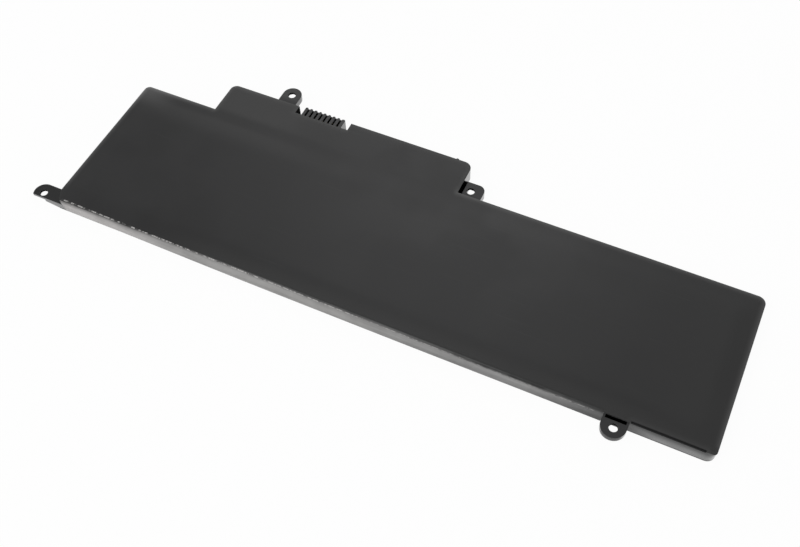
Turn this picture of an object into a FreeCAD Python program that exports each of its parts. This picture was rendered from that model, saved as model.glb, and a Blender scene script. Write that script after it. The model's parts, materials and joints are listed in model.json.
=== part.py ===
import FreeCAD
import Part
import math
import os

# Flat laptop battery. A moulded tray with four screw ears holds three pouch cells in a
# row and, in a strip behind them, a circuit board with a ribbed blade connector. A black
# film covers the top and folds down over the front wall along a perforated line.
#
# Millimetres. Everything is built from the front-left corner of the main rectangle at
# the underside, with X along the long side, Y to the back and Z up. The finished solids
# are moved so that the origin lies under the middle of the whole outline.

# Overall sizes
BODY_LENGTH = 250.0
BODY_DEPTH = 63.0
BODY_HEIGHT = 6.5
STRIP_LEFT = 31.8
STRIP_WIDTH = 104.3
STRIP_DEPTH = 14.65

# Corner radii of the outline, seen from above
FRONT_LEFT_RADIUS = 0.6
FRONT_RIGHT_RADIUS = 3.0
FILM_CORNER_RADIUS = 1.2
BACK_RIGHT_RADIUS = 3.0
BACK_LEFT_RADIUS = 2.0
STRIP_RIGHT_RADIUS = 3.2
STRIP_LEFT_RADIUS = 2.6

# Tray
WALL = 1.2
FLOOR = 0.6
DIVIDER = 1.2
RIB = 1.0
BAY_CORNER_RADIUS = 1.0
BOTTOM_EDGE_RADIUS = 0.3
CORNER_CUT_X = 2.2
CORNER_CUT_Y = 4.2
CORNER_WALL = 0.8
LEDGE_DEPTH = 0.95
LEDGE_DROP = 0.5
GATE_NUB_FROM_RIGHT = 6.9
GATE_NUB_WIDTH = 1.0
GATE_NUB_REACH = 0.35
GATE_NUB_HEIGHT = 1.0

# Cover film
FILM = 0.2
FILM_RELIEF = 0.3
FILM_INSET = 0.05
FOLD_RADIUS = 0.9
FLAP_GAP = 0.3
FLAP_FROM_CUT = 0.1
FLAP_SLANT = 0.9
FLAP_BOTTOM = 0.4
LEDGE_FILM_FRONT = 0.65
PAD_SLOPE = 7.0
PAD_RADIUS = 5.0
SLIT_PITCH = 3.0
SLIT_LENGTH = 1.5
SLIT_WIDTH = 0.25
SLIT_ROW_LEFT = 0.05
SLIT_ROW_RIGHT = 1.9

# Screw ears. A web carries the hole, and a rim hangs down around it.
SCREW_RADIUS = 1.5
EAR_DROP = 0.2
EAR_WEB = 1.0
EAR_RIM = 0.8
SLOT_FLOOR = 0.5
SLOT_RIM = 0.4
BACK_EAR_FROM_STRIP = 24.3
BACK_EAR_REACH = 4.3
BACK_EAR_RADIUS = 3.85
BACK_EAR_HEIGHT = 2.6
SIDE_EAR_GAP = 1.5
SIDE_EAR_WIDTH = 7.4
SIDE_EAR_REACH = 6.4
SIDE_EAR_RADIUS = 2.8
SIDE_EAR_HEIGHT = 3.3
SIDE_HOLE_X = 2.6
SIDE_HOLE_Y = 2.55
FRONT_EAR_FROM_RIGHT = 32.0
FRONT_EAR_RADIUS = 4.3
FRONT_EAR_REACH = 7.35
FRONT_EAR_HEIGHT = 2.0
FRONT_HOLE_REACH = 3.72
FRONT_HOLE_OFFSET = 0.15
FRONT_SLOT_WIDTH = 1.25
FRONT_SLOT_CHEEK = 0.75
LEFT_EAR_REACH = 7.4
LEFT_EAR_RADIUS = 4.05
LEFT_HOLE_Y = 2.05
LEFT_EAR_TOP = 3.2
GUSSET_REACH = 5.7
GUSSET_TIP_Z = 1.2
GUSSET_ROOT_Z = 0.3

# Connector notch in the strip's back edge
NOTCH_LEFT_FROM_STRIP = 30.1
NOTCH_WIDTH = 22.9
NOTCH_DEPTH = 3.6
NOTCH_WALL = 0.8

# Connector
CONTACT_COUNT = 8
CONTACT_PITCH = 2.0
CONNECTOR_RIB = 1.15
CONNECTOR_END_RIB = 1.4
CONNECTOR_FROM_NOTCH = 2.6
CONNECTOR_PROUD = 0.75
CONNECTOR_REAR = 4.2
CONNECTOR_FLANGE = 0.8
CONNECTOR_BASE = 0.8
CONNECTOR_DROP = 0.1
CONNECTOR_GAP = 0.1
RIB_TIP_RADIUS = 0.45
SLOT_BAR = 0.5
SLOT_BAR_SETBACK = 0.2
SLOT_BAR_DROP = 0.45
CONTACT_THICKNESS = 0.3
CONTACT_HEIGHT = 2.0
CONTACT_SUNK = 2.2
CONTACT_SETBACK = 1.0
TAIL_WIDTH = 0.6
TAIL_THICKNESS = 0.2
TAIL_LENGTH = 3.0

# Cells
CELL_COUNT = 3
CELL_CLEARANCE = 0.3
TAB_CLEARANCE = 0.1
CELL_CORNER_RADIUS = 3.5
CELL_EDGE_RADIUS = 1.2
CELL_RIM_DROP = 0.05
CELL_CROWN_START = 1.5
CELL_CROWN_SINK = 0.1
CELL_TAPE = 0.1
CELL_TAPE_MARGIN = 10.0
SIDE_SEAL = 0.4
SIDE_SEAL_HEIGHT = 2.2
TERRACE_DEPTH = 2.5
TERRACE_THICKNESS = 0.2
TAB_OFFSET = 20.0
TAB_WIDTH = 6.0
TAB_LENGTH = 3.1
TAB_THICKNESS = 0.15

# Nickel strips, tape and foam over the cell tabs
STRIP_METAL = 0.15
LINK_WIDTH = 2.4
LINK_SETBACK = 0.5
LEAD_WIDTH = 1.6
TAIL_STRIP_WIDTH = 4.6
TAP_WIDTH = 3.0
WINDOW_SIDE = 1.0
INSULATION = 0.1
FOAM_TOP_GAP = 0.05
FOAM_SIDE_GAP = 0.5

# Circuit board
BOARD_THICKNESS = 1.0
BOARD_CLEARANCE = 1.2
BOARD_FRONT_GAP = 1.0
BOARD_BACK_GAP = 0.65
BOARD_RADIUS = 1.5
BOARD_NOTCH_GAP = 0.35
STAKE_RADIUS = 0.75
STAKE_CLEARANCE = 0.1
STAKE_HEAD_RADIUS = 1.2
STAKE_HEAD_HEIGHT = 0.5
STAKE_FROM_END = 12.0
STAKE_FROM_RIGHT = 2.6
STAKE_FROM_BACK = 3.0
POST_RADIUS = 1.5
PAD_THICKNESS = 0.3
PAD_LENGTH = 3.8
PAD_FROM_FRONT = 0.6
PAD_SIDE = 0.3
NEGATIVE_TAIL_FROM_LEFT = 4.0
SENSOR_FROM_NOTCH = 5.0
TAP_GAP = 1.2

# Small parts on the board, as length, depth and height
PART_GAP = 1.2
TRANSISTOR_LENGTH = 5.0
TRANSISTOR_DEPTH = 6.0
TRANSISTOR_HEIGHT = 1.1
TRANSISTOR_FROM_TAIL = 2.6
SENSE_LENGTH = 6.3
SENSE_DEPTH = 3.2
SENSE_HEIGHT = 0.6
GAUGE_SIZE = 5.0
GAUGE_HEIGHT = 0.9
PROTECTOR_SIZE = 3.0
PROTECTOR_HEIGHT = 0.8
FUSE_LENGTH = 5.4
FUSE_DEPTH = 3.2
FUSE_HEIGHT = 1.3
CHIP_LENGTH = 1.6
CHIP_DEPTH = 0.8
CAPACITOR_HEIGHT = 0.8
RESISTOR_HEIGHT = 0.45
CHIP_PITCH = 2.4
CHIPS_IN_ROW = 4

# Sheet over the board bay
BAY_SHEET = 0.4
BAY_SHEET_SEAT = 0.45
BAY_SHEET_CLEARANCE = 0.1

# Blank label on the underside
LABEL = 0.1
LABEL_RECESS = 0.12
LABEL_CLEARANCE = 0.2
LABEL_MARGIN = 8.0
LABEL_LENGTH = 180.0
LABEL_RADIUS = 3.0

# Temperature sensor and its flexible tail
SENSOR_WIDTH = 3.0
SENSOR_DEPTH = 1.6
SENSOR_HEIGHT = 1.2
FLEX_WIDTH = 2.0
FLEX_THICKNESS = 0.1
FLEX_BEND_FROM_BOARD = 1.0
FLEX_LANDING = 2.4

# Amount by which a cutting tool passes a face, and the rise below which an edge is flat
PAST = 1.0
FLAT = 0.01

# Levels that follow from the sizes above
wall_top = BODY_HEIGHT - FILM - FILM_RELIEF
film_low_top = wall_top + FILM
cell_bottom = FLOOR + CELL_TAPE
cell_top = BODY_HEIGHT - FILM
terrace_bottom = (cell_bottom + cell_top) / 2 - TERRACE_THICKNESS
terrace_top = terrace_bottom + TERRACE_THICKNESS
metal_bottom = terrace_top + INSULATION
metal_top = metal_bottom + STRIP_METAL
cover_tape_top = metal_top + INSULATION
board_top = metal_bottom - PAD_THICKNESS
board_bottom = board_top - BOARD_THICKNESS
bay_sheet_bottom = wall_top - BAY_SHEET
fold_z = film_low_top - FOLD_RADIUS
ledge_z = wall_top - LEDGE_DROP
ear_top = wall_top - EAR_DROP
ear_web_bottom = ear_top - EAR_WEB

# Places along X and Y that follow from the sizes above
strip_right = STRIP_LEFT + STRIP_WIDTH
strip_back = BODY_DEPTH + STRIP_DEPTH
notch_left = STRIP_LEFT + NOTCH_LEFT_FROM_STRIP
notch_right = notch_left + NOTCH_WIDTH
notch_floor = strip_back - NOTCH_DEPTH
connector_left = notch_left + CONNECTOR_FROM_NOTCH
connector_right = connector_left + CONTACT_COUNT * CONTACT_PITCH + CONNECTOR_END_RIB
connector_end = strip_back + CONNECTOR_PROUD
connector_wall_front = notch_floor - NOTCH_WALL
connector_rear = notch_floor - CONNECTOR_REAR
back_ear_x = STRIP_LEFT + BACK_EAR_FROM_STRIP
back_ear_y = strip_back + BACK_EAR_REACH
side_ear_left = strip_right + SIDE_EAR_GAP
side_ear_right = side_ear_left + SIDE_EAR_WIDTH
side_ear_back = BODY_DEPTH + SIDE_EAR_REACH
side_hole_x = side_ear_left + SIDE_HOLE_X
side_hole_y = BODY_DEPTH + SIDE_HOLE_Y
front_ear_x = BODY_LENGTH - FRONT_EAR_FROM_RIGHT
front_ear_left = front_ear_x - FRONT_EAR_RADIUS
front_ear_right = front_ear_x + FRONT_EAR_RADIUS
front_hole_x = front_ear_x + FRONT_HOLE_OFFSET
left_hole_x = -LEFT_EAR_REACH
flap_start = CORNER_CUT_X + FLAP_FROM_CUT
flap_end = front_ear_left - FLAP_GAP
ledge_start = front_ear_right + FLAP_GAP
ledge_end = BODY_LENGTH - FRONT_RIGHT_RADIUS - FLAP_GAP

# The cells share the room between the side walls and the dividers.
bay_back = BODY_DEPTH - RIB
cell_width = (BODY_LENGTH - 2 * WALL - (CELL_COUNT - 1) * DIVIDER
              - 2 * CELL_COUNT * CELL_CLEARANCE) / CELL_COUNT
cell_pitch = cell_width + 2 * CELL_CLEARANCE + DIVIDER
cell_front = WALL + CELL_CLEARANCE
tab_back = bay_back - TAB_CLEARANCE
terrace_back = tab_back - TAB_LENGTH
cell_back = terrace_back - TERRACE_DEPTH
link_front = terrace_back + LINK_SETBACK
link_back = link_front + LINK_WIDTH
lead_front = cell_back + (TERRACE_DEPTH - LEAD_WIDTH) / 2
lead_back = lead_front + LEAD_WIDTH

# The board lies in the strip, with a cut-out around the connector notch.
board_left = STRIP_LEFT + WALL + BOARD_CLEARANCE
board_right = strip_right - WALL - BOARD_CLEARANCE
board_front = BODY_DEPTH + BOARD_FRONT_GAP
board_back = strip_back - WALL - BOARD_BACK_GAP
board_notch_left = notch_left - NOTCH_WALL - BOARD_NOTCH_GAP
board_notch_right = notch_right + NOTCH_WALL + BOARD_NOTCH_GAP
board_notch_front = connector_rear - BOARD_NOTCH_GAP
stakes = [
    (board_left + STAKE_FROM_END, board_back - STAKE_FROM_BACK),
    (board_notch_right + STAKE_FROM_END, board_back - STAKE_FROM_BACK),
    (board_right - STAKE_FROM_RIGHT, board_back - STAKE_FROM_BACK),
]

# Where each nickel tail crosses into the board bay, as its left edge
pad_front = board_front + PAD_FROM_FRONT
tail_back = pad_front + PAD_LENGTH - PAD_SIDE
negative_tail_x = board_left + NEGATIVE_TAIL_FROM_LEFT
sensor_x = board_notch_right + SENSOR_FROM_NOTCH
tap_left_x = sensor_x + SENSOR_WIDTH + TAP_GAP
tap_right_x = board_right - TAP_GAP - TAP_WIDTH
positive_tail_x = tap_right_x - TAP_GAP - TAIL_STRIP_WIDTH

# Small parts on the board
parts_back = board_back - PART_GAP
passives_x = tap_left_x + TAP_WIDTH + 2 * PART_GAP


def vector(x, y, z):
    return FreeCAD.Vector(x, y, z)


def box(x0, x1, y0, y1, z0, z1):
    """Block between two corners."""
    return Part.makeBox(x1 - x0, y1 - y0, z1 - z0, vector(x0, y0, z0))


def rod(x, y, radius, z0, z1):
    """Upright cylinder."""
    return Part.makeCylinder(radius, z1 - z0, vector(x, y, z0))


def rounded_wire(corners, z):
    """Closed wire at height z through corners given as (x, y, radius)."""
    edges = []
    pieces = []
    for i, (x, y, radius) in enumerate(corners):
        here = vector(x, y, z)
        before = vector(corners[i - 1][0], corners[i - 1][1], z)
        following = corners[(i + 1) % len(corners)]
        after = vector(following[0], following[1], z)
        back = (before - here).normalize()
        ahead = (after - here).normalize()
        half_angle = back.getAngle(ahead) / 2
        reach = radius / math.tan(half_angle)
        first = here + back * reach
        last = here + ahead * reach
        inwards = (back + ahead).normalize()
        middle = here + inwards * (radius / math.sin(half_angle) - radius)
        pieces.append((first, middle, last, radius))
    for i, (first, middle, last, radius) in enumerate(pieces):
        if radius > 0:
            edges.append(Part.Arc(first, middle, last).toShape())
        next_first = pieces[(i + 1) % len(pieces)][0]
        if last.distanceToPoint(next_first) > 1e-6:
            edges.append(Part.makeLine(last, next_first))
    return Part.Wire(edges)


def slab(corners, z0, z1):
    """Plate with rounded corners between two heights."""
    return Part.Face(rounded_wire(corners, z0)).extrude(vector(0, 0, z1 - z0))


def rectangle(x0, x1, y0, y1, radius):
    """Corners of a rectangle with one radius."""
    return [(x0, y0, radius), (x1, y0, radius), (x1, y1, radius), (x0, y1, radius)]


def prism_along_x(points, x0, x1):
    """Solid with a straight-sided section given as (y, z) points."""
    wire = Part.makePolygon([vector(x0, y, z) for y, z in points + points[:1]])
    return Part.Face(wire).extrude(vector(x1 - x0, 0, 0))


def prism_upwards(points, z0, z1):
    """Solid with a straight-sided plan given as (x, y) points."""
    wire = Part.makePolygon([vector(x, y, z0) for x, y in points + points[:1]])
    return Part.Face(wire).extrude(vector(0, 0, z1 - z0))


def joined(shapes):
    """One solid from touching shapes, with shared faces merged."""
    return shapes[0].fuse(shapes[1:]).removeSplitter()


def cell_left_edge(index):
    """Left edge of one cell's body and side seals."""
    return WALL + CELL_CLEARANCE + index * cell_pitch


def cell_centre(index):
    return cell_left_edge(index) + cell_width / 2


def body_corners(inset, front_right_radius):
    """Main rectangle with the strip behind it, moved inwards by inset."""
    def smaller(radius):
        return max(radius - inset, 0)

    return [
        (inset, inset, smaller(FRONT_LEFT_RADIUS)),
        (BODY_LENGTH - inset, inset, smaller(front_right_radius)),
        (BODY_LENGTH - inset, BODY_DEPTH - inset, smaller(BACK_RIGHT_RADIUS)),
        (strip_right - inset, BODY_DEPTH - inset, 0),
        (strip_right - inset, strip_back - inset, smaller(STRIP_RIGHT_RADIUS)),
        (STRIP_LEFT + inset, strip_back - inset, smaller(STRIP_LEFT_RADIUS)),
        (STRIP_LEFT + inset, BODY_DEPTH - inset, 0),
        (inset, BODY_DEPTH - inset, smaller(BACK_LEFT_RADIUS)),
    ]


def corner_cut(offset, z0, z1):
    """Wedge that takes off the front-left corner, grown by offset."""
    slant = math.hypot(CORNER_CUT_X, CORNER_CUT_Y)
    growth = 1 + offset * slant / (CORNER_CUT_X * CORNER_CUT_Y)
    low = -PAST
    reach_x = CORNER_CUT_X * growth * (1 - low / (CORNER_CUT_Y * growth))
    reach_y = CORNER_CUT_Y * growth * (1 - low / (CORNER_CUT_X * growth))
    return prism_upwards([(low, low), (reach_x, low), (low, reach_y)], z0, z1)


def notch_room(margin, z0, z1):
    """Space of the connector notch, grown by margin on its three closed sides."""
    return box(notch_left - margin, notch_right + margin,
               notch_floor - margin, strip_back + PAST, z0, z1)


# Tray

def cell_bay():
    """Room for the cells and their tabs, with the dividers standing in it."""
    room = slab(rectangle(WALL, BODY_LENGTH - WALL, WALL, bay_back, BAY_CORNER_RADIUS),
                FLOOR, BODY_HEIGHT)
    room = room.cut(corner_cut(CORNER_WALL, FLOOR - PAST, BODY_HEIGHT + PAST))
    for index in range(1, CELL_COUNT):
        divider_left = cell_left_edge(index) - CELL_CLEARANCE - DIVIDER
        room = room.cut(box(divider_left, divider_left + DIVIDER, 0, cell_back,
                            0, BODY_HEIGHT + PAST))
    return room


def board_bay():
    """Room for the board, less the walls around the connector notch."""
    room = slab(rectangle(STRIP_LEFT + WALL, strip_right - WALL, BODY_DEPTH,
                          strip_back - WALL, BAY_CORNER_RADIUS), FLOOR, BODY_HEIGHT)
    room = room.cut(notch_room(NOTCH_WALL, 0, BODY_HEIGHT + PAST))
    doorway = box(connector_left - CONTACT_THICKNESS, connector_right + CONTACT_THICKNESS,
                  connector_wall_front - PAST, notch_floor + PAST,
                  FLOOR, BODY_HEIGHT)
    return room.fuse(doorway)


def tail_windows():
    """Openings in the rib between the two bays, one for each group of tails."""
    spans = [
        (negative_tail_x - WINDOW_SIDE, negative_tail_x + TAIL_STRIP_WIDTH + WINDOW_SIDE),
        (sensor_x - WINDOW_SIDE, tap_left_x + TAP_WIDTH + WINDOW_SIDE),
        (positive_tail_x - WINDOW_SIDE, positive_tail_x + TAIL_STRIP_WIDTH + WINDOW_SIDE),
        (tap_right_x - WINDOW_SIDE, tap_right_x + TAP_WIDTH + WINDOW_SIDE / 2),
    ]
    return [box(x0, x1, bay_back - PAST, BODY_DEPTH + PAST, metal_bottom - INSULATION,
                BODY_HEIGHT) for x0, x1 in spans]


def bay_sheet_plan(clearance):
    """Plan of the sheet over the board bay, smaller by clearance."""
    seat = WALL - BAY_SHEET_SEAT + clearance
    return rectangle(STRIP_LEFT + seat, strip_right - seat,
                     BODY_DEPTH - BAY_SHEET_SEAT + clearance, strip_back - seat,
                     BAY_CORNER_RADIUS)


def back_ear_plan(inset):
    return [
        (back_ear_x - BACK_EAR_RADIUS + inset, strip_back - WALL / 2 + inset, 0),
        (back_ear_x + BACK_EAR_RADIUS - inset, strip_back - WALL / 2 + inset, 0),
        (back_ear_x + BACK_EAR_RADIUS - inset, back_ear_y + BACK_EAR_RADIUS - inset,
         BACK_EAR_RADIUS - inset),
        (back_ear_x - BACK_EAR_RADIUS + inset, back_ear_y + BACK_EAR_RADIUS - inset,
         BACK_EAR_RADIUS - inset),
    ]


def side_ear_plan(inset, root):
    return [
        (side_ear_left + inset, root, 0),
        (side_ear_right - inset, root, 0),
        (side_ear_right - inset, side_ear_back - inset, SIDE_EAR_RADIUS - inset),
        (side_ear_left + inset, side_ear_back - inset, 0),
    ]


def front_ear_plan(inset, root):
    return [
        (front_ear_left + inset, -FRONT_EAR_REACH + inset, FRONT_EAR_RADIUS - inset),
        (front_ear_right - inset, -FRONT_EAR_REACH + inset, FRONT_EAR_RADIUS - inset),
        (front_ear_right - inset, root, 0),
        (front_ear_left + inset, root, 0),
    ]


def back_ear():
    """Loop on the strip's back edge."""
    return slab(back_ear_plan(0), ear_top - BACK_EAR_HEIGHT, ear_top)


def side_ear():
    """Block on the back wall, with a blind slot between it and the strip."""
    bottom = ear_top - SIDE_EAR_HEIGHT
    block = slab(side_ear_plan(0, BODY_DEPTH - RIB), bottom, ear_top)
    slot_floor = box(strip_right - WALL / 2, side_ear_left + EAR_RIM, BODY_DEPTH - RIB,
                     side_ear_back, bottom, bottom + SLOT_FLOOR)
    slot_end = box(strip_right - WALL / 2, side_ear_left + EAR_RIM,
                   side_ear_back - SLOT_RIM, side_ear_back, bottom, ear_top)
    return block.fuse([slot_floor, slot_end])


def front_ear():
    """Half-round loop on the front wall."""
    return slab(front_ear_plan(0, WALL), ear_top - FRONT_EAR_HEIGHT, ear_top)


def left_ear():
    """Low ear at the front-left corner, with a gusset under its root."""
    web_bottom = LEFT_EAR_TOP - EAR_WEB
    plate = rod(left_hole_x, LEFT_HOLE_Y, LEFT_EAR_RADIUS, web_bottom, LEFT_EAR_TOP)
    back = LEFT_HOLE_Y + LEFT_EAR_RADIUS
    plate = plate.fuse(box(left_hole_x, WALL, 0, back, web_bottom, LEFT_EAR_TOP))
    plate = plate.cut(box(left_hole_x - 2 * LEFT_EAR_RADIUS, WALL, -2 * LEFT_EAR_RADIUS, 0,
                          0, BODY_HEIGHT))
    gusset_side = [(-GUSSET_REACH, web_bottom), (-GUSSET_REACH, GUSSET_TIP_Z),
                   (WALL, GUSSET_ROOT_Z), (WALL, web_bottom)]
    wire = Part.makePolygon([vector(x, 0, z) for x, z in gusset_side + gusset_side[:1]])
    gusset = Part.Face(wire).extrude(vector(0, back, 0))
    return plate.fuse(gusset)


def ear_cuts():
    """Screw holes, the hollows under the ears and the front ear's blind slot."""
    front_bottom = ear_top - FRONT_EAR_HEIGHT
    cuts = [
        slab(back_ear_plan(EAR_RIM), ear_top - BACK_EAR_HEIGHT - PAST, ear_web_bottom).cut(
            box(0, BODY_LENGTH, 0, strip_back + EAR_RIM, 0, BODY_HEIGHT)),
        slab(side_ear_plan(EAR_RIM, BODY_DEPTH + EAR_RIM / 2),
             ear_top - SIDE_EAR_HEIGHT - PAST, ear_web_bottom),
        slab(front_ear_plan(EAR_RIM, -FRONT_SLOT_WIDTH - EAR_RIM),
             front_bottom - PAST, ear_web_bottom),
        box(front_ear_left + FRONT_SLOT_CHEEK, front_ear_right - FRONT_SLOT_CHEEK,
            -FRONT_SLOT_WIDTH, 0, front_bottom + SLOT_FLOOR, BODY_HEIGHT),
    ]
    holes = [
        (back_ear_x, back_ear_y),
        (side_hole_x, side_hole_y),
        (front_hole_x, -FRONT_HOLE_REACH),
        (left_hole_x, LEFT_HOLE_Y),
    ]
    cuts += [rod(x, y, SCREW_RADIUS, -PAST, BODY_HEIGHT + PAST) for x, y in holes]
    return cuts


def flap_corner():
    """Piece that the flap's slanting left edge leaves out."""
    points = [(flap_start, FLAP_BOTTOM), (flap_start + FLAP_SLANT, FLAP_BOTTOM),
              (flap_start, fold_z)]
    wire = Part.makePolygon([vector(x, -PAST, z) for x, z in points + points[:1]])
    return Part.Face(wire).extrude(vector(0, PAST + FILM, 0))


def front_wall_cuts():
    """Room for the film's fold and its flap, and the ledge below the film on the right."""
    flap_room = box(flap_start, flap_end, -PAST, FILM, FLAP_BOTTOM, BODY_HEIGHT)
    return [
        flap_room.cut(flap_corner()),
        box(flap_start, flap_end, -PAST, FOLD_RADIUS, fold_z, BODY_HEIGHT),
        box(ledge_start, ledge_end, -PAST, LEDGE_DEPTH, ledge_z, BODY_HEIGHT),
    ]


def fold_round():
    """Rounded top of the front wall, which the film's fold lies on."""
    return Part.makeCylinder(FOLD_RADIUS - FILM, flap_end - flap_start,
                             vector(flap_start, FOLD_RADIUS, fold_z), vector(1, 0, 0))


def label_corners(clearance):
    return rectangle(LABEL_MARGIN + clearance, LABEL_MARGIN + LABEL_LENGTH - clearance,
                     LABEL_MARGIN + clearance, BODY_DEPTH - LABEL_MARGIN - clearance,
                     LABEL_RADIUS)


def make_tray():
    shell = slab(body_corners(0, FRONT_RIGHT_RADIUS), 0, wall_top)
    bottom_edges = [edge for edge in shell.Edges if edge.BoundBox.ZMax < BOTTOM_EDGE_RADIUS]
    shell = shell.makeFillet(BOTTOM_EDGE_RADIUS, bottom_edges)
    shell = shell.cut(corner_cut(0, LEFT_EAR_TOP, BODY_HEIGHT))
    shell = shell.cut(front_wall_cuts())
    shell = shell.fuse(fold_round())
    shell = shell.cut([cell_bay(), board_bay()] + tail_windows())
    shell = shell.cut(slab(bay_sheet_plan(0), bay_sheet_bottom, BODY_HEIGHT).cut(
        notch_room(NOTCH_WALL, 0, BODY_HEIGHT + PAST)))
    shell = shell.cut(notch_room(0, -PAST, BODY_HEIGHT))
    shell = shell.fuse([back_ear(), side_ear(), front_ear(), left_ear()])
    shell = shell.cut(ear_cuts())
    shell = shell.cut(slab(label_corners(0), -PAST, LABEL_RECESS))
    nub_x = strip_right - GATE_NUB_FROM_RIGHT
    shell = shell.fuse(box(nub_x, nub_x + GATE_NUB_WIDTH, strip_back - WALL / 2,
                           strip_back + GATE_NUB_REACH, wall_top - GATE_NUB_HEIGHT,
                           wall_top))
    posts = []
    for x, y in stakes:
        posts.append(rod(x, y, POST_RADIUS, FLOOR, board_bottom))
        posts.append(rod(x, y, STAKE_RADIUS, FLOOR, board_top + STAKE_HEAD_HEIGHT))
        posts.append(rod(x, y, STAKE_HEAD_RADIUS, board_top, board_top + STAKE_HEAD_HEIGHT))
    return shell.fuse(posts).removeSplitter()


# Cover film

def pad_loft(drop):
    """Low raised field that the cells press up in the film, lowered by drop."""
    x0 = cell_left_edge(0) - FILM
    x1 = cell_left_edge(CELL_COUNT - 1) + cell_width + FILM
    y0 = FOLD_RADIUS + FILM
    y1 = cell_back + 2 * FILM
    low = rounded_wire(rectangle(x0, x1, y0, y1, PAD_RADIUS), film_low_top - drop)
    high = rounded_wire(rectangle(x0 + PAD_SLOPE, x1 - PAD_SLOPE, y0 + PAD_SLOPE,
                                  y1 - PAD_SLOPE, PAD_RADIUS), BODY_HEIGHT - drop)
    return Part.makeLoft([low, high], True, True)


def fold_and_flap():
    """Film bent over the top of the front wall and down its face."""
    inner = FOLD_RADIUS - FILM
    turn = math.sqrt(0.5)

    def point(y, z):
        return vector(flap_start, y, z)

    edges = [
        Part.makeLine(point(FOLD_RADIUS + FILM, film_low_top), point(FOLD_RADIUS, film_low_top)),
        Part.Arc(point(FOLD_RADIUS, film_low_top),
                 point(FOLD_RADIUS * (1 - turn), fold_z + FOLD_RADIUS * turn),
                 point(0, fold_z)).toShape(),
        Part.makeLine(point(0, fold_z), point(0, FLAP_BOTTOM)),
        Part.makeLine(point(0, FLAP_BOTTOM), point(FILM, FLAP_BOTTOM)),
        Part.makeLine(point(FILM, FLAP_BOTTOM), point(FILM, fold_z)),
        Part.Arc(point(FILM, fold_z),
                 point(FOLD_RADIUS - inner * turn, fold_z + inner * turn),
                 point(FOLD_RADIUS, wall_top)).toShape(),
        Part.makeLine(point(FOLD_RADIUS, wall_top), point(FOLD_RADIUS + FILM, wall_top)),
        Part.makeLine(point(FOLD_RADIUS + FILM, wall_top),
                      point(FOLD_RADIUS + FILM, film_low_top)),
    ]
    bent = Part.Face(Part.Wire(edges)).extrude(vector(flap_end - flap_start, 0, 0))
    return bent.cut(flap_corner())


def fold_slits():
    """Row of slits along the fold that slides from the top down to the front."""
    quarter = FOLD_RADIUS * math.pi / 2
    count = int((flap_end - flap_start) / SLIT_PITCH) - 1
    slits = []
    for i in range(count):
        x = flap_start + SLIT_PITCH * (i + 1)
        way = SLIT_ROW_LEFT + (SLIT_ROW_RIGHT - SLIT_ROW_LEFT) * i / (count - 1)
        turned = min(way, quarter) / FOLD_RADIUS
        slit = box(x - SLIT_LENGTH / 2, x + SLIT_LENGTH / 2,
                   FOLD_RADIUS - SLIT_WIDTH / 2, FOLD_RADIUS + SLIT_WIDTH / 2,
                   wall_top - FILM, film_low_top + FILM)
        slit.rotate(vector(0, FOLD_RADIUS, fold_z), vector(1, 0, 0), math.degrees(turned))
        slit.translate(vector(0, 0, -max(way - quarter, 0)))
        slits.append(slit)
    return slits


def make_cover_film():
    plate = slab(body_corners(FILM_INSET, FILM_CORNER_RADIUS), wall_top, film_low_top)
    plate = plate.cut(corner_cut(FILM_INSET, 0, BODY_HEIGHT))
    plate = plate.cut(notch_room(FILM_INSET, 0, BODY_HEIGHT))
    plate = plate.cut(box(flap_start, flap_end, -PAST, FOLD_RADIUS + FILM, 0, BODY_HEIGHT))
    plate = plate.cut(box(ledge_start, ledge_end, -PAST, LEDGE_FILM_FRONT, 0, BODY_HEIGHT))
    film = plate.fuse([fold_and_flap(), pad_loft(0)]).cut(pad_loft(FILM))
    return film.removeSplitter().cut(fold_slits())


# Cells

def make_cell(index):
    """Pouch with rounded edges, a crowned top, folded side seals and a sealed terrace."""
    x0 = cell_left_edge(index)
    x1 = x0 + cell_width
    rim = wall_top - CELL_RIM_DROP
    body = slab(rectangle(x0 + SIDE_SEAL, x1 - SIDE_SEAL, cell_front, cell_back,
                          CELL_CORNER_RADIUS), cell_bottom, rim)
    flat_edges = [edge for edge in body.Edges
                  if edge.BoundBox.ZMax - edge.BoundBox.ZMin < FLAT]
    body = body.makeFillet(CELL_EDGE_RADIUS, flat_edges)
    inset = CELL_CROWN_START
    low = rounded_wire(rectangle(x0 + inset, x1 - inset, cell_front + inset,
                                 cell_back - inset, CELL_CORNER_RADIUS),
                       rim - CELL_CROWN_SINK)
    high = rounded_wire(rectangle(x0 + PAD_SLOPE, x1 - PAD_SLOPE, cell_front + PAD_SLOPE,
                                  cell_back - PAD_SLOPE, PAD_RADIUS), cell_top)
    crown = Part.makeLoft([low, high], True, True)
    seal_front = cell_front + 2 * CELL_CORNER_RADIUS
    seals = [
        box(x, x + SIDE_SEAL, seal_front, cell_back - CELL_CORNER_RADIUS,
            terrace_bottom, terrace_bottom + SIDE_SEAL_HEIGHT)
        for x in (x0, x1 - SIDE_SEAL)
    ]
    terrace = box(x0 + CELL_CORNER_RADIUS, x1 - CELL_CORNER_RADIUS,
                  cell_back - PAST, terrace_back, terrace_bottom, terrace_top)
    return joined([body, crown, terrace] + seals)


def make_tabs(offset):
    """Metal tabs of one sign, one on each cell."""
    tabs = []
    for index in range(CELL_COUNT):
        middle = cell_centre(index) + offset
        tabs.append(box(middle - TAB_WIDTH / 2, middle + TAB_WIDTH / 2,
                        terrace_back, tab_back, metal_bottom - TAB_THICKNESS, metal_bottom))
    return tabs


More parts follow.
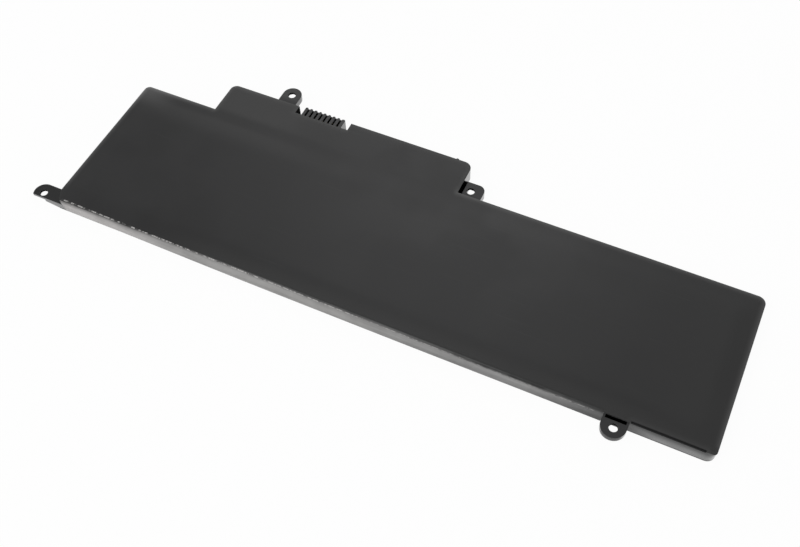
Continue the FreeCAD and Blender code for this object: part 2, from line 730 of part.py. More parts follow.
def make_cell_tapes():
    """Double-sided tape under each cell."""
    tapes = []
    for index in range(CELL_COUNT):
        x0 = cell_left_edge(index)
        tapes.append(box(x0 + CELL_TAPE_MARGIN, x0 + cell_width - CELL_TAPE_MARGIN,
                         cell_front + CELL_TAPE_MARGIN, cell_back - CELL_TAPE_MARGIN,
                         FLOOR, cell_bottom))
    return tapes


def negative_tab_x(index):
    return cell_centre(index) - TAB_OFFSET


def positive_tab_x(index):
    return cell_centre(index) + TAB_OFFSET


def metal(x0, x1, y0, y1):
    """Flat nickel strip on the level of the cell tabs."""
    return box(x0, x1, y0, y1, metal_bottom, metal_top)


def make_series_link_left():
    """Joins the first cell to the second, with a tap to the board."""
    x0 = positive_tab_x(0) - TAB_WIDTH / 2
    x1 = negative_tab_x(1) + TAB_WIDTH / 2
    bar = metal(x0, x1, link_front, link_back)
    tap = metal(tap_left_x, tap_left_x + TAP_WIDTH, link_front, tail_back)
    return joined([bar, tap])


def make_series_link_right():
    """Joins the second cell to the third, with a tap to the board."""
    x1 = negative_tab_x(2) + TAB_WIDTH / 2
    bar = metal(tap_right_x, x1, link_front, link_back)
    tap = metal(tap_right_x, tap_right_x + TAP_WIDTH, link_front, tail_back)
    return joined([bar, tap])


def make_negative_lead():
    x0 = negative_tab_x(0) - TAB_WIDTH / 2
    x1 = negative_tail_x + TAIL_STRIP_WIDTH
    bar = metal(x0, x1, link_front, link_back)
    tail = metal(negative_tail_x, x1, link_front, tail_back)
    return joined([bar, tail])


def make_positive_lead():
    """Runs from the last cell back over the terraces to the board."""
    tab = positive_tab_x(CELL_COUNT - 1)
    weld = metal(tab - TAB_WIDTH / 2, tab + TAB_WIDTH / 2, lead_front, link_back)
    run = metal(positive_tail_x, tab + TAB_WIDTH / 2, lead_front, lead_back)
    tail = metal(positive_tail_x, positive_tail_x + TAIL_STRIP_WIDTH, lead_front,
                 tail_back)
    return joined([weld, run, tail])


def make_terrace_tapes():
    """Insulation between each sealed terrace and the metal above it."""
    tapes = []
    for index in range(CELL_COUNT):
        x0 = cell_left_edge(index) + CELL_CORNER_RADIUS
        x1 = cell_left_edge(index) + cell_width - CELL_CORNER_RADIUS
        tapes.append(box(x0, x1, cell_back, terrace_back, terrace_top, metal_bottom))
    return tapes


def make_cover_tapes():
    """Insulation over the welded tabs and links."""
    tapes = []
    for index in range(CELL_COUNT):
        x0 = negative_tab_x(index) - TAB_WIDTH
        x1 = positive_tab_x(index) + TAB_WIDTH
        tapes.append(box(x0, x1, terrace_back, tab_back, metal_top, cover_tape_top))
    return tapes


def make_foam_strips():
    """Soft strips that hold the film up over the tabs, clear of the sensor's tail."""
    strips = []
    tail_room = box(sensor_x - FOAM_SIDE_GAP, sensor_x + SENSOR_WIDTH + FOAM_SIDE_GAP,
                    cell_back, bay_back, 0, BODY_HEIGHT)
    for index in range(CELL_COUNT):
        x0 = negative_tab_x(index) - TAB_WIDTH + FOAM_SIDE_GAP
        x1 = positive_tab_x(index) + TAB_WIDTH - FOAM_SIDE_GAP
        strips.append(box(x0, x1, link_front, link_back, cover_tape_top,
                          wall_top - FOAM_TOP_GAP).cut(tail_room))
    return strips


# Circuit board and what stands on it

def make_circuit_board():
    board = slab(rectangle(board_left, board_right, board_front, board_back, BOARD_RADIUS),
                 board_bottom, board_top)
    board = board.cut(box(board_notch_left, board_notch_right, board_notch_front,
                          strip_back, 0, BODY_HEIGHT))
    hole = STAKE_RADIUS + STAKE_CLEARANCE
    return board.cut([rod(x, y, hole, 0, BODY_HEIGHT) for x, y in stakes])


def on_board(x, y, length, depth, height):
    """Block that stands on the board, with its front-left corner at x, y."""
    return box(x, x + length, y, y + depth, board_top, board_top + height)


def make_board_pads():
    """Nickel pads that the tails are welded to."""
    pads = []
    for x, width in ((negative_tail_x, TAIL_STRIP_WIDTH), (tap_left_x, TAP_WIDTH),
                     (positive_tail_x, TAIL_STRIP_WIDTH), (tap_right_x, TAP_WIDTH)):
        pads.append(on_board(x - PAD_SIDE, pad_front, width + 2 * PAD_SIDE, PAD_LENGTH,
                             PAD_THICKNESS))
    return pads


def make_power_transistors():
    """Pair of switching transistors in flat packages."""
    x = negative_tail_x + TAIL_STRIP_WIDTH + TRANSISTOR_FROM_TAIL
    return make_row(x, board_front + PART_GAP, TRANSISTOR_LENGTH, TRANSISTOR_DEPTH,
                    TRANSISTOR_HEIGHT, TRANSISTOR_LENGTH + PART_GAP, 2)


def make_sense_resistor():
    return on_board(board_left + PART_GAP, parts_back - SENSE_DEPTH,
                    SENSE_LENGTH, SENSE_DEPTH, SENSE_HEIGHT)


def make_fuel_gauge_chip():
    return on_board(passives_x, parts_back - GAUGE_SIZE, GAUGE_SIZE, GAUGE_SIZE,
                    GAUGE_HEIGHT)


def make_protector_chip():
    return on_board(passives_x + GAUGE_SIZE + PART_GAP, parts_back - PROTECTOR_SIZE,
                    PROTECTOR_SIZE, PROTECTOR_SIZE, PROTECTOR_HEIGHT)


def make_chip_fuse():
    """Fuse behind the positive tail."""
    return on_board(positive_tail_x - PART_GAP, parts_back - FUSE_DEPTH,
                    FUSE_LENGTH, FUSE_DEPTH, FUSE_HEIGHT)


def make_row(x, y, length, depth, height, pitch, count):
    """Row of equal small parts on the board."""
    return [on_board(x + i * pitch, y, length, depth, height) for i in range(count)]


def make_ceramic_capacitors():
    """One row beside the left tap and one behind the connector notch's right end."""
    return [part for x, y in ((passives_x, board_front + PART_GAP),
                              (board_notch_right + PART_GAP, parts_back - CHIP_DEPTH))
            for part in make_row(x, y, CHIP_LENGTH, CHIP_DEPTH, CAPACITOR_HEIGHT,
                                 CHIP_PITCH, CHIPS_IN_ROW)]


def make_chip_resistors():
    """A row next to each row of capacitors."""
    step = CHIP_DEPTH + PART_GAP
    return [part for x, y in ((passives_x, board_front + PART_GAP + step),
                              (board_notch_right + PART_GAP, parts_back - CHIP_DEPTH - step))
            for part in make_row(x, y, CHIP_LENGTH, CHIP_DEPTH, RESISTOR_HEIGHT,
                                 CHIP_PITCH, CHIPS_IN_ROW)]


# Connector

def slot_centre(index):
    """Middle of one slot between two ribs of the connector."""
    return connector_left + (CONNECTOR_RIB + CONTACT_PITCH) / 2 + index * CONTACT_PITCH


def make_contacts():
    """Upright blades, each with a flat tail that lies on the board."""
    contacts = []
    back = connector_end - CONTACT_SETBACK
    blade_top = wall_top - CONNECTOR_DROP - CONTACT_SUNK
    for index in range(CONTACT_COUNT):
        x = slot_centre(index)
        blade = box(x - CONTACT_THICKNESS / 2, x + CONTACT_THICKNESS / 2,
                    connector_wall_front, back, blade_top - CONTACT_HEIGHT, blade_top)
        tail = box(x - TAIL_WIDTH / 2, x + TAIL_WIDTH / 2,
                   board_notch_front - TAIL_LENGTH, connector_wall_front + TAIL_WIDTH,
                   board_top, board_top + TAIL_THICKNESS)
        contacts.append(joined([blade, tail]))
    return contacts


def make_connector_body(contacts):
    """Ribs with a low bar across their slots, and a wider foot behind the notch wall."""
    bottom = FLOOR + CONNECTOR_GAP
    under_sheet = bay_sheet_bottom - CONNECTOR_GAP
    top = wall_top - CONNECTOR_DROP
    neck_end = notch_floor - NOTCH_WALL / 4
    rib_front = neck_end - NOTCH_WALL / 2
    bar_back = connector_end - SLOT_BAR_SETBACK
    bar_front = bar_back - SLOT_BAR
    foot = box(connector_left - CONNECTOR_FLANGE, connector_right + CONNECTOR_FLANGE,
               connector_rear, connector_wall_front - CONNECTOR_GAP, bottom, under_sheet)
    neck = box(connector_left, connector_right, connector_wall_front - CONNECTOR_FLANGE,
               neck_end, bottom, under_sheet)
    base = box(connector_left, connector_right, notch_floor - PAST, bar_back - SLOT_BAR / 2,
               bottom, bottom + CONNECTOR_BASE)
    bar = box(connector_left + CONNECTOR_RIB / 2, connector_right - CONNECTOR_END_RIB / 2,
              bar_front, bar_back, bottom, top - SLOT_BAR_DROP)
    pieces = [foot, neck, base, bar]
    for index in range(CONTACT_COUNT + 1):
        x0 = connector_left + index * CONTACT_PITCH
        width = CONNECTOR_END_RIB if index == CONTACT_COUNT else CONNECTOR_RIB
        pieces.append(slab([(x0, rib_front, 0), (x0 + width, rib_front, 0),
                            (x0 + width, connector_end, RIB_TIP_RADIUS),
                            (x0, connector_end, RIB_TIP_RADIUS)], bottom, top))
    return joined(pieces).cut(contacts)


# Sheets, label and sensor

def make_bay_sheet():
    """Stiff sheet that closes the board bay under the film."""
    sheet = slab(bay_sheet_plan(BAY_SHEET_CLEARANCE), bay_sheet_bottom, wall_top)
    return sheet.cut(notch_room(NOTCH_WALL + BAY_SHEET_CLEARANCE, 0, BODY_HEIGHT))


def make_label():
    """Bare label in its shallow recess in the underside."""
    return slab(label_corners(LABEL_CLEARANCE), LABEL_RECESS - LABEL, LABEL_RECESS)


def make_sensor():
    """Temperature sensor against the back of the middle cell."""
    return box(sensor_x, sensor_x + SENSOR_WIDTH, cell_back, cell_back + SENSOR_DEPTH,
               metal_bottom, metal_bottom + SENSOR_HEIGHT)


def make_sensor_flex():
    """Flexible tail from the sensor over the link and down to the board."""
    front = cell_back + SENSOR_DEPTH
    high = cover_tape_top
    low = board_top
    bend = board_front + FLEX_BEND_FROM_BOARD
    end = bend + FLEX_LANDING
    drop = high - low
    lower_side = [(front, high), (bend, high), (bend + drop, low), (end, low)]
    upper_side = [(end, low + FLEX_THICKNESS),
                  (bend + drop + FLEX_THICKNESS / 2, low + FLEX_THICKNESS),
                  (bend + FLEX_THICKNESS / 2, high + FLEX_THICKNESS),
                  (front, high + FLEX_THICKNESS)]
    x0 = sensor_x + (SENSOR_WIDTH - FLEX_WIDTH) / 2
    return prism_along_x(lower_side + upper_side, x0, x0 + FLEX_WIDTH)


# The whole outline, which gives the origin
outline_left = left_hole_x - LEFT_EAR_RADIUS
outline_front = -FRONT_EAR_REACH
outline_back = back_ear_y + BACK_EAR_RADIUS
origin_x = (outline_left + BODY_LENGTH) / 2
origin_y = (outline_front + outline_back) / 2


def export(name, shapes):
    """Write one node, a solid or a group of separate solids."""
    if not isinstance(shapes, list):
        shapes = [shapes]
    solids = [solid for shape in shapes for solid in shape.Solids]
    node = solids[0] if len(solids) == 1 else Part.makeCompound(solids)
    node = node.copy()
    node.translate(vector(-origin_x, -origin_y, 0))
    node.exportStep(os.path.join("parts", name + ".step"))
    print(name, len(solids), "solid(s)", round(node.Volume, 2), "mm3",
          "valid" if node.isValid() else "NOT VALID")


def main():
    os.makedirs("parts", exist_ok=True)
    contacts = make_contacts()
    export("tray", make_tray())
    export("cover_film", make_cover_film())
    export("bay_sheet", make_bay_sheet())
    export("underside_label", make_label())
    for index, side in enumerate(("left", "middle", "right")):
        export("cell_" + side, make_cell(index))
    export("cell_tapes", make_cell_tapes())
    export("negative_tabs", make_tabs(-TAB_OFFSET))
    export("positive_tabs", make_tabs(TAB_OFFSET))
    export("series_link_left", make_series_link_left())
    export("series_link_right", make_series_link_right())
    export("negative_lead", make_negative_lead())
    export("positive_lead", make_positive_lead())
    export("terrace_tapes", make_terrace_tapes())
    export("cover_tapes", make_cover_tapes())
    export("foam_strips", make_foam_strips())
    export("circuit_board", make_circuit_board())
    export("board_pads", make_board_pads())
    export("connector_body", make_connector_body(contacts))
    export("connector_contacts", contacts)
    export("power_transistors", make_power_transistors())
    export("sense_resistor", make_sense_resistor())
    export("fuel_gauge_chip", make_fuel_gauge_chip())
    export("protector_chip", make_protector_chip())
    export("chip_fuse", make_chip_fuse())
    export("ceramic_capacitors", make_ceramic_capacitors())
    export("chip_resistors", make_chip_resistors())
    export("temperature_sensor", make_sensor())
    export("sensor_flex", make_sensor_flex())


main()
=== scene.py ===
"""Looks of a flat laptop battery with a moulded tray, a film cover and a ribbed connector."""

import json
import logging
import math
from collections.abc import Callable
from dataclasses import asdict, dataclass, field
from enum import Enum
from functools import partial, reduce

import bpy
from mathutils import Matrix, Vector, noise

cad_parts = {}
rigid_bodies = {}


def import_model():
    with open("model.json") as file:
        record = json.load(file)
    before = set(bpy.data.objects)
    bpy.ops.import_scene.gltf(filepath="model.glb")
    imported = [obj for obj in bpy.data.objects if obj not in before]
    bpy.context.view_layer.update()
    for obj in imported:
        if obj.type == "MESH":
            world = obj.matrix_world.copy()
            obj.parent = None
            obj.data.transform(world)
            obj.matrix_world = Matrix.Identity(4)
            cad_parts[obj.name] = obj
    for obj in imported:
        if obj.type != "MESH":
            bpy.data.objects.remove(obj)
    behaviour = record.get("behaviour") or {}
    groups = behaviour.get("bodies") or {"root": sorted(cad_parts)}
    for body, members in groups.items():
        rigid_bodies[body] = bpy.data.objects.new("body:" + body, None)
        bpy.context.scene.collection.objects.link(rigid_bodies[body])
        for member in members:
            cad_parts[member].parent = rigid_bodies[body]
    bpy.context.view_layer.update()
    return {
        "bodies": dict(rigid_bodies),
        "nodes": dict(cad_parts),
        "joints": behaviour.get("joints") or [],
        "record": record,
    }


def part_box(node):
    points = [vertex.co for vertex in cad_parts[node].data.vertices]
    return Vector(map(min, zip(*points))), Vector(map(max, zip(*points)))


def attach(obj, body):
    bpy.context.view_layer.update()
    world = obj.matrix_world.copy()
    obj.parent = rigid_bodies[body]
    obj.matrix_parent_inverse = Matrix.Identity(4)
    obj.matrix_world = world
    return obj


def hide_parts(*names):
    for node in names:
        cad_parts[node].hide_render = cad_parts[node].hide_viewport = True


MM = 0.001
LOG = logging.getLogger("battery")

Colour = tuple[float, float, float]


# Frame of the drawing: millimetres from the front-left corner of the main rectangle

@dataclass(frozen=True)
class Datum:
    """Where the drawing's own corner, the body's front-left one, lies in the frame."""

    corner: Vector

    @classmethod
    def from_tray(cls, left_ear_reach: float = 11.45, front_ear_reach: float = 7.35) -> "Datum":
        """Finds the corner from the tray's box and how far its ears pass the body, in mm."""
        low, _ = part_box("tray")
        return cls(Vector((low.x + left_ear_reach * MM, low.y + front_ear_reach * MM, 0.0)))

    def place(self, x: float, y: float, z: float) -> Vector:
        """Turns a place of the drawing, in millimetres, into frame metres."""
        return self.corner + Vector((x, y, z)) * MM


class Axis(Enum):
    """Direction of the drawing, by the name that the effects give it."""

    ALONG = "Along"
    ACROSS = "Across"
    HEIGHT = "Height"


@dataclass(frozen=True)
class Fade:
    """Smooth change from start to end between two places of the drawing."""

    axis: Axis
    low: float
    high: float
    start: float = 0.0
    end: float = 1.0


# A region is the product of its fades
Region = tuple[Fade, ...]
along = partial(Fade, Axis.ALONG)
across = partial(Fade, Axis.ACROSS)
up = partial(Fade, Axis.HEIGHT)


# Shader building

class NodeSheet:
    """Adds nodes to one tree and joins their sockets."""

    # Colour sockets of the mix node, whose names repeat for every type of value
    MIX_FIRST = 6
    MIX_SECOND = 7
    MIX_RESULT = 2

    def __init__(self, tree: bpy.types.NodeTree) -> None:
        """Keeps the tree that is built on."""
        self.tree = tree

    def add(self, kind: str, **settings: object) -> bpy.types.Node:
        """Adds one node.

        Args:
            kind: Blender's name of the node type.
            **settings: Properties of the node.

        Returns:
            The new node.
        """
        node = self.tree.nodes.new(kind)
        for name, value in settings.items():
            setattr(node, name, value)
        return node

    def join(self, source: object, target: bpy.types.NodeSocket) -> None:
        """Gives an input its value.

        Args:
            source: Output to link, colour or number; None leaves the input as it is.
            target: The input.
        """
        if isinstance(source, bpy.types.NodeSocket):
            self.tree.links.new(source, target)
        elif source is not None:
            target.default_value = (*source, 1.0) if isinstance(source, tuple) else source

    def math(self, operation: str, first: object, second: object = None,
             clamp: bool = False) -> bpy.types.NodeSocket:
        """Adds a math node.

        Args:
            operation: Blender's name of the operation.
            first: Socket or number.
            second: Socket or number, where the operation has two.
            clamp: Keeps the result from 0 to 1.

        Returns:
            The result's socket.
        """
        node = self.add("ShaderNodeMath", operation=operation, use_clamp=clamp)
        self.join(first, node.inputs[0])
        self.join(second, node.inputs[1])
        return node.outputs[0]

    def times(self, *values: object) -> bpy.types.NodeSocket:
        """Product of sockets and numbers."""
        return reduce(partial(self.math, "MULTIPLY"), values)

    def plus(self, *values: object) -> bpy.types.NodeSocket:
        """Sum of sockets and numbers."""
        return reduce(partial(self.math, "ADD"), values)

    def most(self, *values: object) -> bpy.types.NodeSocket:
        """Largest of sockets and numbers."""
        return reduce(partial(self.math, "MAXIMUM"), values)

    def rest(self, value: object) -> bpy.types.NodeSocket:
        """What the value leaves of 1."""
        return self.math("SUBTRACT", 1.0, value)

    def ramp(self, value: object, low: object, high: object,
             start: float = 0.0, end: float = 1.0) -> bpy.types.NodeSocket:
        """Maps a value smoothly from one span to another.

        Args:
            value: Socket that is mapped.
            low: Value that gives start.
            high: Value that gives end.
            start: Result at low.
            end: Result at high.

        Returns:
            The result's socket.
        """
        node = self.add("ShaderNodeMapRange", interpolation_type="SMOOTHSTEP")
        names = ("Value", "From Min", "From Max", "To Min", "To Max")
        for name, source in zip(names, (value, low, high, start, end)):
            self.join(source, node.inputs[name])
        return node.outputs["Result"]

    def area(self, facing: bpy.types.Node, region: Region) -> bpy.types.NodeSocket:
        """Mask of a region.

        Args:
            facing: Node that gives the place in the drawing.
            region: The region.

        Returns:
            The mask's socket.
        """
        return self.times(*(self.ramp(facing.outputs[fade.axis.value], fade.low, fade.high,
                                      fade.start, fade.end) for fade in region))

    def blend(self, share: object, first: object, second: object) -> bpy.types.NodeSocket:
        """Mixes two colours.

        Args:
            share: Socket or number, 0 for the first colour and 1 for the second.
            first: Socket or colour.
            second: Socket or colour.

        Returns:
            The mixed colour's socket.
        """
        node = self.add("ShaderNodeMix", data_type="RGBA")
        self.join(share, node.inputs["Factor"])
        self.join(first, node.inputs[self.MIX_FIRST])
        self.join(second, node.inputs[self.MIX_SECOND])
        return node.outputs[self.MIX_RESULT]


class EffectName(Enum):
    """Surface effects that several materials share."""

    GRAIN = "fine grain"
    MOTTLE = "soft mottle"
    SCRATCHES = "fine scratches"
    ROUNDING = "rounded edges"
    FACING = "masks by direction and drawing place"
    POCKET = "upright box through the part"


def open_group(name: EffectName, inputs: dict[str, float], *outputs: str, vector: str = ""
               ) -> tuple[NodeSheet, bpy.types.Node, bpy.types.Node]:
    """Starts a node group with named sockets.

    Args:
        name: Which effect it makes.
        inputs: Input names with their usual values.
        *outputs: Names of the outputs that are numbers.
        vector: Name of the output that is a vector, if there is one.

    Returns:
        The sheet to build on, the group's input node and its output node.
    """
    tree = bpy.data.node_groups.new(name.value, "ShaderNodeTree")
    for label, value in inputs.items():
        socket = tree.interface.new_socket(label, in_out="INPUT", socket_type="NodeSocketFloat")
        socket.default_value = value
    if vector:
        tree.interface.new_socket(vector, in_out="OUTPUT", socket_type="NodeSocketVector")
    for label in outputs:
        tree.interface.new_socket(label, in_out="OUTPUT", socket_type="NodeSocketFloat")
    sheet = NodeSheet(tree)
    return sheet, sheet.add("NodeGroupInput"), sheet.add("NodeGroupOutput")


class Effects:
    """Builds each shared effect once and hands it out."""

    GRAIN_TONE = (0.3, 0.7)
    CLOUD_DETAIL = 4.0
    SCRATCH_DETAIL = 2.0
    SCRATCH_LEVEL = 0.75
    SCRATCH_GAIN = 8.0
    BEVEL_SAMPLES = 6
    EDGE_TURN = (0.98, 0.8)
    WALL_TURN = (0.75, 0.25)
    FRONT_TURN = (-0.4, -0.8)

    def __init__(self, datum: Datum) -> None:
        """Builds every group, in the order of their names.

        Args:
            datum: Turns drawing places into the frame's metres.
        """
        self.datum = datum
        makers = (self._grain, self._mottle, self._scratches, self._rounding, self._facing,
                  self._pocket)
        self.groups = {name: maker() for name, maker in zip(EffectName, makers)}

    def place(self, sheet: NodeSheet, name: EffectName, **values: float) -> bpy.types.Node:
        """Puts one effect into a material.

        Args:
            sheet: The material's sheet.
            name: Which effect.
            **values: Values of its inputs, by name.

        Returns:
            The group node.
        """
        node = sheet.add("ShaderNodeGroup", node_tree=self.groups[name])
        for label, value in values.items():
            node.inputs[label].default_value = value
        return node

    @staticmethod
    def _noise(sheet: NodeSheet, scale: object, detail: object,
               place: bpy.types.NodeSocket | None = None) -> bpy.types.NodeSocket:
        """Adds soft noise.

        Args:
            sheet: The group's sheet.
            scale: Bumps in a metre.
            detail: Number of finer layers.
            place: Where it is read, if not at the piece's own place.

        Returns:
            The noise's socket.
        """
        cloud = sheet.add("ShaderNodeTexNoise")
        own = sheet.add("ShaderNodeTexCoord").outputs["Object"]
        sheet.join(own if place is None else place, cloud.inputs["Vector"])
        sheet.join(scale, cloud.inputs["Scale"])
        sheet.join(detail, cloud.inputs["Detail"])
        return cloud.outputs["Fac"]

    def _grain(self) -> bpy.types.NodeTree:
        """Sparkle of a textured mould, sized in millimetres.

        Returns:
            The group, which gives a height and a tone.
        """
        sheet, entry, result = open_group(EffectName.GRAIN, {"Size": 0.4, "Detail": 3.0},
                                          "Height", "Tone")
        scale = sheet.math("DIVIDE", 1.0 / MM, entry.outputs["Size"])
        cloud = self._noise(sheet, scale, entry.outputs["Detail"])
        sheet.join(cloud, result.inputs["Height"])
        sheet.join(sheet.ramp(cloud, *self.GRAIN_TONE), result.inputs["Tone"])
        return sheet.tree

    def _mottle(self) -> bpy.types.NodeTree:
        """Slow change of tone, as of handling and uneven gloss.

        Returns:
            The group, which gives a mask.
        """
        sheet, entry, result = open_group(
            EffectName.MOTTLE, {"Size": 12.0, "Low": 0.4, "High": 0.65}, "Mask")
        scale = sheet.math("DIVIDE", 1.0 / MM, entry.outputs["Size"])
        cloud = self._noise(sheet, scale, self.CLOUD_DETAIL)
        sheet.join(sheet.ramp(cloud, entry.outputs["Low"], entry.outputs["High"]),
                   result.inputs["Mask"])
        return sheet.tree

    def _scratches(self) -> bpy.types.NodeTree:
        """Thin straight marks that run along X.

        Returns:
            The group, which gives a mask.
        """
        sheet, entry, result = open_group(
            EffectName.SCRATCHES, {"Spacing": 0.6, "Length": 14.0, "Share": 0.2}, "Mask")
        stretch = sheet.add("ShaderNodeCombineXYZ")
        for axis, size in (("X", "Length"), ("Y", "Spacing"), ("Z", "Spacing")):
            sheet.join(sheet.math("DIVIDE", 1.0 / MM, entry.outputs[size]), stretch.inputs[axis])
        scaled = sheet.add("ShaderNodeVectorMath", operation="MULTIPLY")
        sheet.join(sheet.add("ShaderNodeTexCoord").outputs["Object"], scaled.inputs[0])
        sheet.join(stretch.outputs["Vector"], scaled.inputs[1])
        cloud = self._noise(sheet, 1.0, self.SCRATCH_DETAIL, scaled.outputs["Vector"])
        limit = sheet.math("SUBTRACT", self.SCRATCH_LEVEL, entry.outputs["Share"])
        above = sheet.math("SUBTRACT", cloud, limit)
        sheet.join(sheet.math("MULTIPLY", above, self.SCRATCH_GAIN, clamp=True),
                   result.inputs["Mask"])
        return sheet.tree

    def _rounding(self) -> bpy.types.NodeTree:
        """Softens sharp edges of a moulding.

        Returns:
            The group, which gives a normal and a mask along the edges.
        """
        sheet, entry, result = open_group(EffectName.ROUNDING, {"Radius": 0.15}, "Edge",
                                          vector="Normal")
        bevel = sheet.add("ShaderNodeBevel", samples=self.BEVEL_SAMPLES)
        sheet.join(sheet.times(entry.outputs["Radius"], MM), bevel.inputs["Radius"])
        surface = sheet.add("ShaderNodeNewGeometry")
        agree = sheet.add("ShaderNodeVectorMath", operation="DOT_PRODUCT")
        sheet.join(bevel.outputs["Normal"], agree.inputs[0])
        sheet.join(surface.outputs["Normal"], agree.inputs[1])
        sheet.join(bevel.outputs["Normal"], result.inputs["Normal"])
        sheet.join(sheet.ramp(agree.outputs["Value"], *self.EDGE_TURN), result.inputs["Edge"])
        return sheet.tree

    def _drawing_place(self, sheet: NodeSheet) -> dict[str, bpy.types.NodeSocket]:
        """Adds the place in the drawing, in millimetres.

        Args:
            sheet: The group's sheet.

        Returns:
            The three sockets, by the names of the axes.
        """
        spot = sheet.add("ShaderNodeSeparateXYZ")
        sheet.join(sheet.add("ShaderNodeTexCoord").outputs["Object"], spot.inputs[0])
        return {axis.value: sheet.math("DIVIDE", sheet.math("SUBTRACT", part, zero), MM)
                for axis, part, zero in zip(Axis, spot.outputs, self.datum.corner)}

    def _facing(self) -> bpy.types.NodeTree:
        """Tells walls, front walls and upward faces apart, and gives the drawing place.

        Returns:
            The group, which gives three masks and three places in millimetres.
        """
        sheet, _, result = open_group(EffectName.FACING, {}, "Wall", "Front",
                                      *(axis.value for axis in Axis))
        turned = sheet.add("ShaderNodeSeparateXYZ")
        sheet.join(sheet.add("ShaderNodeNewGeometry").outputs["Normal"], turned.inputs[0])
        upward = sheet.math("ABSOLUTE", turned.outputs["Z"])
        sheet.join(sheet.ramp(upward, *self.WALL_TURN), result.inputs["Wall"])
        sheet.join(sheet.ramp(turned.outputs["Y"], *self.FRONT_TURN), result.inputs["Front"])
        for name, socket in self._drawing_place(sheet).items():
            sheet.join(socket, result.inputs[name])
        return sheet.tree

    def _pocket(self) -> bpy.types.NodeTree:
        """Mask of an upright box, open at the bottom, with its sides along the drawing's axes.

        Returns:
            The group, which gives a mask that is 1 inside the box.
        """
        sheet, entry, result = open_group(
            EffectName.POCKET,
            {"Left": 0.0, "Right": 1.0, "Front": 0.0, "Back": 1.0, "Ceiling": 1.0}, "Mask")
        place = self._drawing_place(sheet)
        tests = (("GREATER_THAN", "Along", "Left"), ("LESS_THAN", "Along", "Right"),
                 ("GREATER_THAN", "Across", "Front"), ("LESS_THAN", "Across", "Back"),
                 ("LESS_THAN", "Height", "Ceiling"))
        inside = (sheet.math(operation, place[axis], entry.outputs[side])
                  for operation, axis, side in tests)
        sheet.join(sheet.times(*inside), result.inputs["Mask"])
        return sheet.tree


# Finishes

@dataclass(frozen=True)
class Pocket:
    """Hole or slot that no light comes out of, painted black as shade, in drawing millimetres."""

    left: float
    right: float
    front: float
    back: float
    ceiling: float

    @classmethod
    def round_hole(cls, x: float, y: float, ceiling: float, reach: float = 1.6) -> "Pocket":
        """Pocket around an upright hole, where reach is a little more than its radius."""
        return cls(x - reach, x + reach, y - reach, y + reach, ceiling)

    def sides(self) -> dict[str, float]:
        """The sides by the names of the effect's inputs."""
        return {name.title(): value for name, value in asdict(self).items()}


@dataclass(frozen=True)
class Patch:
    """Region with a colour of its own."""

    colour: Colour
    region: Region


@dataclass(frozen=True)
class Finish:
    """One material: what all finishes share."""

    label: str
    colour: Colour
    roughness: float = 0.5
    specular: float = 0.5
    metallic: float = 0.0

    def start(self) -> tuple[bpy.types.Material, NodeSheet, bpy.types.Node]:
        """Makes the material with its shader.

        Returns:
            The material, its sheet and the shader node with the plain values set.
        """
        material = bpy.data.materials.new(self.label)
        material.use_nodes = True
        sheet = NodeSheet(material.node_tree)
        shader = material.node_tree.nodes["Principled BSDF"]
        for name, value in (("Base Color", self.colour), ("Roughness", self.roughness),
                            ("Specular IOR Level", self.specular), ("Metallic", self.metallic)):
            sheet.join(value, shader.inputs[name])
        return material, sheet, shader

    def roughen(self, sheet: NodeSheet, shader: bpy.types.Node, mask: bpy.types.NodeSocket,
                share: float) -> None:
        """Adds a share of a mask to the plain roughness."""
        rough = sheet.plus(self.roughness, sheet.times(mask, share))
        sheet.join(rough, shader.inputs["Roughness"])

    def bump(self, sheet: NodeSheet, shader: bpy.types.Node, height: bpy.types.NodeSocket,
             depth: float, normal: bpy.types.NodeSocket | None = None) -> None:
        """Feeds a height into the shader's normal.

        Args:
            sheet: The material's sheet.
            shader: The shader node.
            height: Socket with a height from 0 to 1.
            depth: Height of 1, in millimetres.
            normal: Normal that the bump is added to, if not the surface's own.
        """
        node = sheet.add("ShaderNodeBump")
        sheet.join(depth * MM, node.inputs["Distance"])
        sheet.join(height, node.inputs["Height"])
        sheet.join(normal, node.inputs["Normal"])
        sheet.join(node.outputs["Normal"], shader.inputs["Normal"])

    def build(self, effects: Effects) -> bpy.types.Material:
        """Builds the material; each kind of finish has its own way."""
        raise NotImplementedError


